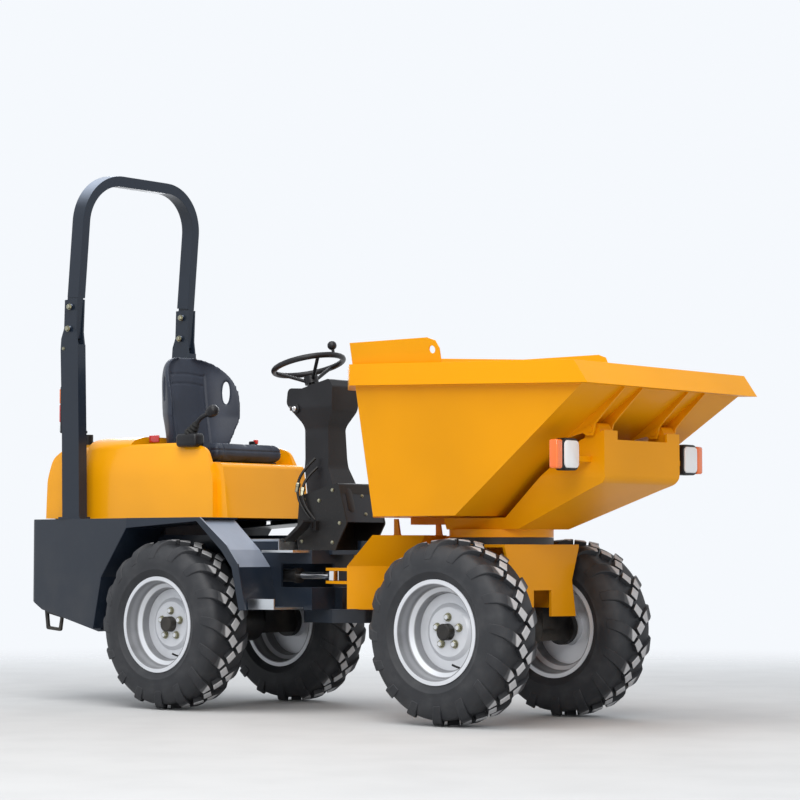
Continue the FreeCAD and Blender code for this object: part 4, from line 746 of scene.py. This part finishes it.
print("nuts, caps and valves on", len(WHEELS), "wheels")

# %% [markdown]
# The seat back is foam under vinyl, with bolsters that come forward and an open grip through each of them. It
# is lofted from closed rings, one for each height, and two oval rods cut the grips. The result is turned into
# small even squares and relaxed, which rounds every edge as upholstery does. Sewn seams are pressed in last,
# by moving the vertices near a seam line inwards.

# %% Seat back
# Shares run from 0 to 1: up the back for its waist and top, and from the middle outwards for its wings.
SHELL_STEPS = 36
SHELL_ROWS = 40
SHELL_TOP = 0.995
SHELL_VOXEL = 0.0050
SHELL_EASE = 13
SHELL_THICK = 0.060
SCOOP_X = -0.922
SCOOP_Z = 1.150
SCOOP_LEAN = 0.126
SCOOP_IN = 0.012
WAIST_BELOW = 0.35
WAIST_IN = 0.22
ROUND_ABOVE = 0.45
WING_FROM = 0.36
WING_LOW = 0.16
WING_RISE = 0.80
GRIP_AT = Vector((-0.915, 0.200, 1.461))
GRIP_HALF = 0.0175
GRIP_TALL = 0.056
GRIP_DEPTH = 0.22
UP = Vector((0, 0, 1))


def apply_modifiers(piece):
    """Replaces a piece's mesh by what its modifiers make of it."""
    graph = bpy.context.evaluated_depsgraph_get()
    graph.update()
    made = bpy.data.meshes.new_from_object(piece.evaluated_get(graph))
    piece.modifiers.clear()
    piece.data = made


def even_squares(piece, name, size):
    remesh = piece.modifiers.new(name, "REMESH")
    remesh.mode = "VOXEL"
    remesh.voxel_size = size


def scoop_face_x(z):
    """The front face of the seat back, between its bolsters."""
    return SCOOP_X - (z - SCOOP_Z) * SCOOP_LEAN


def shell_section(share, low, high):
    """One closed ring of the seat back at a share of its height, running over its front and back again."""
    z = low.z + (high.z - low.z) * share
    fade = max(0.0, (share - ROUND_ABOVE) / (1.0 - ROUND_ABOVE))
    waist = 1.0 - WAIST_IN * max(0.0, WAIST_BELOW - share) / WAIST_BELOW
    half = (high.y - 0.006) * waist * (1.0 - fade ** 3.2) ** 0.42
    forward = math.sin(math.pi * min(1.0, WING_LOW + share * WING_RISE)) ** 0.8
    reach = (high.x - 0.010 - scoop_face_x(z)) * forward
    thickness = SHELL_THICK * (1.0 - 0.35 * fade)
    front, back = [], []
    for step in range(SHELL_STEPS + 1):
        across = -1.0 + 2.0 * step / SHELL_STEPS
        wing = max(0.0, (abs(across) - WING_FROM) / (1.0 - WING_FROM)) ** 1.7 * reach
        x = scoop_face_x(z) - SCOOP_IN + wing
        edge = (1.0 - abs(across) ** 6) * 0.5 + 0.5
        front.append(Vector((min(x, high.x - 0.004), across * half, z)))
        back.append(Vector((x - thickness * edge, across * half, z)))
    return front + back[::-1]


def grip_rods():
    """Two oval rods that run outwards through the bolsters."""
    code = bmesh.new()
    for side in (1, -1):
        middle = Vector((GRIP_AT.x, side * GRIP_AT.y, GRIP_AT.z))
        through = Vector((-1.0, side, 0.0)).normalized()
        across = through.cross(UP)
        made = bmesh.ops.create_cone(code, cap_ends=True, segments=32, radius1=1, radius2=1, depth=GRIP_DEPTH)
        for vertex in made["verts"]:
            x, y, z = vertex.co
            vertex.co = middle + through * z + across * (x * GRIP_HALF) + UP * (y * GRIP_TALL)
    code.normal_update()
    bmesh.ops.recalc_face_normals(code, faces=code.faces)
    return code


def seat_back_shell(name, low, high):
    """The lofted shell, cut by two oval grips, then evened and relaxed."""
    code = bmesh.new()
    rings = []
    for row in range(SHELL_ROWS + 1):
        share = min(SHELL_TOP, row / SHELL_ROWS)
        rings.append([code.verts.new(point) for point in shell_section(share, low, high)])
    skin(code, rings)
    bmesh.ops.recalc_face_normals(code, faces=code.faces)
    piece = link_mesh(name, code, seat_vinyl)
    cutter = link_mesh("grip_rods", grip_rods(), seat_vinyl)
    even_squares(piece, "whole", SHELL_VOXEL)
    opened = piece.modifiers.new("grips", "BOOLEAN")
    opened.operation = "DIFFERENCE"
    opened.solver = "EXACT"
    opened.object = cutter
    even_squares(piece, "even", SHELL_VOXEL)
    relax = piece.modifiers.new("relax", "SMOOTH")
    relax.factor = 0.5
    relax.iterations = SHELL_EASE
    apply_modifiers(piece)
    bpy.data.objects.remove(cutter)
    piece.data.materials.clear()
    piece.data.materials.append(seat_vinyl)
    return smooth(piece, 80)


def press_seams(piece, seams, width, depth):
    """Moves vertices near each seam inwards. A seam is a function that gives the distance to it."""
    mesh = piece.data
    normals = [vertex.normal.copy() for vertex in mesh.vertices]
    for vertex, normal in zip(mesh.vertices, normals):
        near = min(seam(vertex.co) for seam in seams)
        if near < width:
            vertex.co -= normal * depth * (1 - near / width) ** 2


SEAM_FACE = 0.030
SEAM_REACH = 0.168
PANEL_HALF = 0.108
PANEL_ACROSS = 0.105
PANEL_TOP = 1.545
PANEL_SECOND = 1.500
PANEL_ARC = 0.8
BACK_SEAM = (0.010, 0.005)
FAR = 1.0


def on_front(point):
    """Whether a point lies on the front face, between the bolsters."""
    return abs(point.x - scoop_face_x(point.z)) <= SEAM_FACE and abs(point.y) <= SEAM_REACH


def cross_seam(height):
    """A seam from side to side at a height, which droops towards its ends."""
    def near(p):
        if not on_front(p) or abs(p.y) >= PANEL_ACROSS:
            return FAR
        return abs(p.z - height + p.y * p.y * PANEL_ARC)
    return near


def side_seams(p):
    """The two upright seams of the middle panel."""
    if not on_front(p) or p.z >= PANEL_TOP:
        return FAR
    return abs(abs(p.y) - PANEL_HALF)


seat_back_piece = seat_back_shell("sewn_seat_back", *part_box("seat_back"))
press_seams(seat_back_piece, [cross_seam(PANEL_TOP), cross_seam(PANEL_SECOND), side_seams], *BACK_SEAM)
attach(seat_back_piece, "rear_chassis")
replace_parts(seat_back_piece, "seat_back")
print("seat back", len(seat_back_piece.data.polygons), "faces")

# %% [markdown]
# The cushion is inflated: a slightly smaller block with rounded corners is remeshed to even squares and blown
# up with a little pressure, with each point held to a short way, and the seams are pressed in at the end.

# %% Seat cushion
CUSHION_LOW, CUSHION_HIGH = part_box("seat_cushion")
CUSHION_HIGH = CUSHION_HIGH + Vector((0.020, 0, 0.010))
CUSHION_INSET = Vector((0.012, 0.012, 0.010))
CUSHION_ROUND = 0.024
CUSHION_VOXEL = 0.007
CUSHION_CAP = 0.024
CUSHION_PRESSURE = 4.0
CUSHION_FRAMES = 20
PIPING_X = -0.60
PIPING_Y = 0.22
PIPING_Z = 1.168
TOP_FROM_Z = 1.165
SIDE_FROM_Z = 1.160
CUSHION_SEAM = (0.009, 0.005)
PLEATS_X = (-0.700, -0.840)
PLEAT_HALF = 0.165


def inflate(piece):
    """Blows the piece up, and holds each point to a short way and to the cushion's box."""
    start = [vertex.co.copy() for vertex in piece.data.vertices]
    cloth = piece.modifiers.new("foam", "CLOTH")
    cloth.settings.use_pressure = True
    cloth.settings.uniform_pressure_force = CUSHION_PRESSURE
    cloth.settings.effector_weights.gravity = 0.0
    cloth.settings.quality = 5
    for step in range(1, CUSHION_FRAMES + 1):
        bpy.context.scene.frame_set(step)
    apply_modifiers(piece)
    for vertex, first in zip(piece.data.vertices, start):
        move = vertex.co - first
        if move.length > CUSHION_CAP:
            vertex.co = first + move.normalized() * CUSHION_CAP
        for index in range(3):
            vertex.co[index] = min(max(vertex.co[index], CUSHION_LOW[index]), CUSHION_HIGH[index])
    bpy.context.scene.frame_set(1)


def top_sides(p):
    """The two seams along the sides of the top."""
    return abs(abs(p.y) - PLEAT_HALF) if p.z > SIDE_FROM_Z else FAR


def piping(p):
    """The seam round the sides and the front."""
    return abs(p.z - PIPING_Z) if p.x > PIPING_X or abs(p.y) > PIPING_Y else FAR


def pleat(x):
    """A seam from side to side on the top."""
    return lambda p: abs(p.x - x) if abs(p.y) < PLEAT_HALF and p.z > TOP_FROM_Z else FAR


cushion_code = bmesh.new()
rounded_box(cushion_code, CUSHION_LOW + CUSHION_INSET, CUSHION_HIGH - CUSHION_INSET, CUSHION_ROUND, 4)
cushion = link_mesh("sewn_seat_cushion", cushion_code, seat_vinyl)
even_squares(cushion, "even", CUSHION_VOXEL)
apply_modifiers(cushion)
inflate(cushion)
finer = cushion.modifiers.new("finer", "SUBSURF")
finer.levels = 1
finer.render_levels = 1
apply_modifiers(cushion)
smooth(cushion, 80)
press_seams(cushion, [top_sides, piping] + [pleat(x) for x in PLEATS_X], *CUSHION_SEAM)
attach(cushion, "rear_chassis")
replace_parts(cushion, "seat_cushion")
print("cushion", len(cushion.data.polygons), "faces")

# %% [markdown]
# The front of the column's base is closed by a sloping cover with one long slot, drawn as a dark pad whose
# black is painted shade. Rigid pipes with threaded fittings run down beside the column and a key switch sits
# under its head. The belt shows as a buckle at one side of the seat and the end of its webbing at the other.

# %% Column and belt details
COVER_TOP = Vector((0.1095, 0, 0.9990))
COVER_LOW = Vector((0.1570, 0, 0.8340))
COVER_HALF = 0.1215
COVER_THICK = 0.006
COVER_BOLT = 0.007
SLOT_ENDS = ((-0.0740, 0.9640), (-0.0755, 0.9000))
SLOT_HALF = 0.0220
SLOT_STEPS = 12


def on_cover(y, z, out=0.0):
    """A point on the cover's sloping face, moved out from it."""
    share = (COVER_TOP.z - z) / (COVER_TOP.z - COVER_LOW.z)
    return Vector((COVER_TOP.x + (COVER_LOW.x - COVER_TOP.x) * share + out, y, z))


code = bmesh.new()
corners = ((-COVER_HALF, 0.0), (COVER_HALF, 0.0), (COVER_HALF, -COVER_THICK), (-COVER_HALF, -COVER_THICK))
skin(code, [[code.verts.new(on_cover(y, z, out)) for y, out in corners] for z in (COVER_TOP.z, COVER_LOW.z)])
bmesh.ops.recalc_face_normals(code, faces=code.faces)
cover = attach(link_mesh("column_base_cover", code, slate_paint), "rear_chassis")

# The slot is not cut: a raised dark pad in black plastic is painted shade for the opening.
code = bmesh.new()
slot_top, slot_low = Vector(SLOT_ENDS[0]), Vector(SLOT_ENDS[1])
along = (slot_low - slot_top).normalized()
across = Vector((-along.y, along.x))
rings = []
for out, reach in ((-0.001, SLOT_HALF), (0.0016, SLOT_HALF), (0.0022, SLOT_HALF * 0.9)):
    ring = []
    for end_point, start in ((slot_top, 0.0), (slot_low, math.pi)):
        for step in range(SLOT_STEPS + 1):
            angle = start + math.pi * step / SLOT_STEPS
            spot = end_point + (across * math.cos(angle) - along * math.sin(angle)) * reach
            ring.append(code.verts.new(on_cover(spot.x, spot.y, out)))
    rings.append(ring)
skin(code, rings)
bmesh.ops.recalc_face_normals(code, faces=code.faces)
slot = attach(smooth(link_mesh("column_base_slot_shade", code, black_plastic), 40), "rear_chassis")
cover_way = Vector((COVER_TOP.z - COVER_LOW.z, 0, COVER_LOW.x - COVER_TOP.x)).normalized()
cover_spots = ((0.011, 0.951), (0.091, 0.952), (0.011, 0.870), (0.091, 0.870))
bolts("column_cover_bolts", "rear_chassis", [(on_cover(y, z), cover_way, COVER_BOLT) for y, z in cover_spots])

PIPE_RADIUS = 0.0065
PIPES = {
    "steering_pipe_upper": [(-0.075, -0.080, 1.120), (-0.115, -0.128, 1.060), (-0.128, -0.146, 0.980),
                            (-0.100, -0.144, 0.900), (-0.060, -0.128, 0.850)],
    "steering_pipe_lower": [(-0.060, -0.080, 1.080), (-0.090, -0.130, 1.030), (-0.096, -0.146, 0.960),
                            (-0.070, -0.142, 0.890), (-0.030, -0.128, 0.845)],
}
FITTINGS = {
    "pipe_fitting_upper": ((-0.122, -0.138, 1.010), (-0.127, -0.145, 0.968)),
    "pipe_fitting_lower": ((-0.094, -0.140, 0.990), (-0.096, -0.146, 0.952)),
}
FITTING_PROFILE = [(0.0, 0.009), (0.1, 0.012), (0.4, 0.012), (0.45, 0.010), (0.9, 0.010), (1.0, 0.008)]
for pipe_name, path in PIPES.items():
    tube(pipe_name, "rear_chassis", path, PIPE_RADIUS, black_steel)
for fitting_name, (start, end) in FITTINGS.items():
    turned(fitting_name, "rear_chassis", start, end, FITTING_PROFILE, zinc_nut, 6, 20)

KEY_X = -0.185
KEY_Z = 1.345
switch = turned("key_switch", "rear_chassis", (KEY_X, -0.083, KEY_Z), (KEY_X, -0.100, KEY_Z), [
    (0.0, 0.021), (0.7, 0.021), (0.8, 0.019), (0.82, 0.014), (1.0, 0.013)], black_plastic)
turned("key_switch_ring", "rear_chassis", (KEY_X, -0.098, KEY_Z), (KEY_X, -0.104, KEY_Z), [
    (0.0, 0.0125), (0.6, 0.0125), (1.0, 0.011)], chrome_rod)
solid_box("key", "rear_chassis", (KEY_X - 0.0020, -0.1290, KEY_Z - 0.010),
          (KEY_X + 0.0005, -0.1030, KEY_Z + 0.010), 0.0011, chrome_rod, 2, 40)

BELT_PIECES = {
    "belt_buckle": ((-0.768, 0.202, 1.150), (-0.722, 0.222, 1.226), 0.007, black_plastic),
    "buckle_button": ((-0.738, 0.204, 1.212), (-0.716, 0.220, 1.232), 0.004, lamp_red),
    "belt_webbing_end": ((-1.025, -0.200, 1.212), (-0.960, -0.190, 1.247), 0.004, lamp_red),
}
for belt_name, (belt_low, belt_high, belt_round, belt_material) in BELT_PIECES.items():
    solid_box(belt_name, "rear_chassis", belt_low, belt_high, belt_round, belt_material)
print("column cover", cover.name, slot.name, switch.name, "with", len(PIPES), "pipes")

# %% [markdown]
# The lever at the driver's right is a rounded pod, a ribbed rubber boot, a bent stalk and a knob. The boot
# and the knob are turned: a profile of shares and radii is swept round a line.

# %% Lever
LEVER_Y = -0.278
POD_HALF = 0.034
STALK_RADIUS = 0.0105
BOOT_PROFILE = [
    (0.00, 0.030), (0.12, 0.031), (0.20, 0.025), (0.32, 0.027), (0.42, 0.021),
    (0.55, 0.023), (0.66, 0.017), (0.78, 0.019), (0.90, 0.013), (1.00, 0.012)]
KNOB_PROFILE = [
    (0.00, 0.010), (0.10, 0.017), (0.25, 0.023), (0.50, 0.027),
    (0.75, 0.026), (0.90, 0.020), (0.98, 0.011), (1.00, 0.004)]
STALK_XZ = ((-0.630, 1.282), (-0.612, 1.304), (-0.588, 1.318), (-0.548, 1.330))

pod = solid_box("lever_pod", "rear_chassis", (-0.735, LEVER_Y - POD_HALF, 1.180),
                (-0.604, LEVER_Y + POD_HALF, 1.243), 0.018, black_plastic, 4, 60)
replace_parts(pod, "control_lever")
boot = turned("lever_boot", "rear_chassis", (-0.668, LEVER_Y, 1.238), (-0.622, LEVER_Y, 1.292),
              BOOT_PROFILE, rubber_trim)
stalk = tube("lever_stalk", "rear_chassis", [(x, LEVER_Y, z) for x, z in STALK_XZ],
             STALK_RADIUS, black_plastic)
knob = turned("lever_knob", "rear_chassis", (-0.562, LEVER_Y, 1.324), (-0.498, LEVER_Y, 1.352),
              KNOB_PROFILE, black_plastic, 28, 80)
print("lever", boot.name, stalk.name, knob.name)

# %% [markdown]
# The work lamps hang on arms beside the console's nose. Each is a black housing with rounded corners round a
# pale lens, and its outer side carries an orange marker. The tail lamps are strips of three lenses, orange
# over red over white, on a black base.

# %% Lamps
LAMP_INNER = 0.360
LAMP_OUTER = 0.510
MARKER_WIDE = 0.042
HOUSING_CORNER = 0.026
LENS_CORNER = 0.020
TAIL_LAMP_Y = 0.365
TAIL_BASE_HALF = 0.022
TAIL_LENS_HALF = 0.019
TAIL_MARGIN = 0.006
TAIL_GAP = 0.003
TAIL_ROWS = [
    ("white", lamp_white, 0.00, 0.22),
    ("red", lamp_red, 0.22, 0.64),
    ("orange", lamp_orange, 0.64, 1.0)]


def lamp_pieces(side):
    """One work lamp with its lens and marker. Returns the housing."""
    hand = "left" if side > 0 else "right"
    low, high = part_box("front_lamps")
    y_low, y_high = sorted((side * LAMP_INNER, side * LAMP_OUTER))
    if side > 0:
        body_low, body_high = y_low, y_high - MARKER_WIDE
        marker_low, marker_high = body_high, y_high - 0.002
    else:
        body_low, body_high = y_low + MARKER_WIDE, y_high
        marker_low, marker_high = y_low + 0.002, body_low
    code = bmesh.new()
    rounded_plate(code, (low.x + 0.002, body_low + 0.001, low.z + 0.002),
                  (high.x - 0.010, body_high, high.z - 0.002), HOUSING_CORNER, 0.006)
    housing = smooth(link_mesh(f"work_lamp_housing_{hand}", code, black_plastic), 40)
    code = bmesh.new()
    rounded_plate(code, (high.x - 0.030, body_low + 0.009, low.z + 0.011),
                  (high.x - 0.004, body_high - 0.007, high.z - 0.011), LENS_CORNER, 0.005)
    glass = smooth(link_mesh(f"work_lamp_lens_{hand}", code, headlamp_glass), 40)
    for piece in (housing, glass):
        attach(piece, "swivel")
    solid_box(f"side_marker_{hand}", "swivel", (low.x + 0.012, marker_low, low.z + 0.008),
              (high.x - 0.008, marker_high, high.z - 0.008), 0.009, lamp_orange, 3, 40)
    return housing


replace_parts(lamp_pieces(1), "front_lamps")
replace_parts(lamp_pieces(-1), "front_lamps")

low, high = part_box("tail_lamps")
rise = high.z - low.z - 2 * TAIL_MARGIN
for side in (1, -1):
    hand = "left" if side > 0 else "right"
    middle = side * TAIL_LAMP_Y
    base = solid_box(f"tail_lamp_base_{hand}", "rear_chassis",
                     (low.x + 0.012, middle - TAIL_BASE_HALF, low.z),
                     (low.x + 0.026, middle + TAIL_BASE_HALF, high.z), 0.003, black_plastic, 2, 40)
    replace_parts(base, "tail_lamps")
    for colour_name, material, start, end in TAIL_ROWS:
        z0 = low.z + TAIL_MARGIN + rise * start
        z1 = low.z + TAIL_MARGIN + rise * end - TAIL_GAP
        solid_box(f"tail_{colour_name}_{hand}", "rear_chassis", (low.x + 0.001, middle - TAIL_LENS_HALF, z0),
                  (low.x + 0.016, middle + TAIL_LENS_HALF, z1), 0.005, material, 3, 40)
print("lamps ready")

# %% [markdown]
# Fasteners tell the size of a machine. The hoop is held by two large bolts through each post, and the
# column's base by a ring of small ones on each side.

# %% Bolts on the chassis
HOOP_BOLT = 0.0135
SMALL_BOLT = 0.008
POST_OUTER_Y = 0.4005
POST_INNER_Y = 0.3295
POST_FACE_Y = 0.390
BASE_SIDE_Y = 0.130
HOOP_BOLTS_XZ = ((-1.372, 1.756), (-1.362, 1.859))
LATCH_XZ = (-1.412, 1.664)
BASE_BOLTS_XZ = ((-0.095, 0.935), (0.075, 0.975), (0.118, 0.830), (0.075, 0.745), (-0.110, 0.750),
                 (-0.005, 0.930))

hoop_rows = []
base_rows = []
for side in (1, -1):
    way = (0, side, 0)
    for at_x, at_z in HOOP_BOLTS_XZ:
        hoop_rows.append(((at_x, side * POST_OUTER_Y, at_z), way, HOOP_BOLT))
        hoop_rows.append(((at_x, side * POST_INNER_Y, at_z), (0, -side, 0), HOOP_BOLT))
    hoop_rows.append(((LATCH_XZ[0], side * POST_FACE_Y, LATCH_XZ[1]), way, SMALL_BOLT))
    for at_x, at_z in BASE_BOLTS_XZ:
        base_rows.append(((at_x, side * BASE_SIDE_Y, at_z), way, SMALL_BOLT))
bolts("hoop_bolts", "rear_chassis", hoop_rows)
bolts("column_base_bolts", "rear_chassis", base_rows)
print("bolts ready")

# %% [markdown]
# The studio is a pale floor that fades out into a pale sky. The light is broad and soft, as on an overcast
# day: large panels and a sky that fills the shadows. The sky looks white to the camera and to polished metal,
# and lights the machine less.

# %% Floor, sky and lights
FLOOR_HALF = 60
FLOOR_COLOUR = (0.56, 0.565, 0.57)
FLOOR_DARKER = (0.52, 0.525, 0.53)
FLOOR_FADE_FROM = 2.6
FLOOR_FADE_TO = 7.5
SKY_COLOUR = (0.93, 0.96, 1.0, 1.0)
SKY_LIGHT = 0.62
SKY_SEEN = 0.985

floor_code = bmesh.new()
bmesh.ops.create_grid(floor_code, x_segments=1, y_segments=1, size=FLOOR_HALF)
floor_bench = Bench("studio_floor")
floor_place = floor_bench.place()
floor_x = floor_bench.part(floor_place, "X")
floor_y = floor_bench.part(floor_place, "Y")
away = (floor_x * floor_x + floor_y * floor_y) ** 0.5
mottle = floor_bench.noise(floor_place, 3.0, 6.0).ramp(0.3, 0.8)
floor_bench.finish(
    Base_Color=floor_bench.blend(mottle, FLOOR_COLOUR, FLOOR_DARKER),
    Roughness=0.85,
    Alpha=1.0 - away.ramp(FLOOR_FADE_FROM, FLOOR_FADE_TO))
floor = link_mesh("studio_floor", floor_code, floor_bench.material, (0, 0, cad_low.z))

world = bpy.data.worlds.new("studio_sky")
bpy.context.scene.world = world
world.use_nodes = True
tree = world.node_tree
background = tree.nodes["Background"]
path = tree.nodes.new("ShaderNodeLightPath")
seen = tree.nodes.new("ShaderNodeMath")
seen.operation = "MAXIMUM"
tree.links.new(path.outputs["Is Camera Ray"], seen.inputs[0])
tree.links.new(path.outputs["Is Glossy Ray"], seen.inputs[1])
power = tree.nodes.new("ShaderNodeMapRange")
power.inputs["To Min"].default_value = SKY_LIGHT
power.inputs["To Max"].default_value = SKY_SEEN
tree.links.new(seen.outputs[0], power.inputs["Value"])
tree.links.new(power.outputs[0], background.inputs["Strength"])
background.inputs["Color"].default_value = SKY_COLOUR


def soft_light(name, at, target, size, power_watts, colour):
    data = bpy.data.lights.new(name, "AREA")
    data.shape = "DISK"
    data.size = size
    data.energy = power_watts
    data.color = colour
    light = bpy.data.objects.new(name, data)
    light.location = at
    light.rotation_euler = (Vector(target) - Vector(at)).to_track_quat("-Z", "Y").to_euler()
    bpy.context.scene.collection.objects.link(light)


soft_light("overhead", (1.0, -2.5, 6.5), (0, 0, 0.8), 6.0, 330, (1.0, 0.99, 0.97))
soft_light("key", (5.5, -6.5, 4.5), (0, 0, 0.9), 3.5, 260, (1.0, 0.98, 0.95))
soft_light("far_side", (-5.0, 5.5, 3.5), (0, 0, 0.9), 4.0, 160, (0.94, 0.97, 1.0))
bpy.context.scene.view_settings.view_transform = "Standard"
print("studio ready")
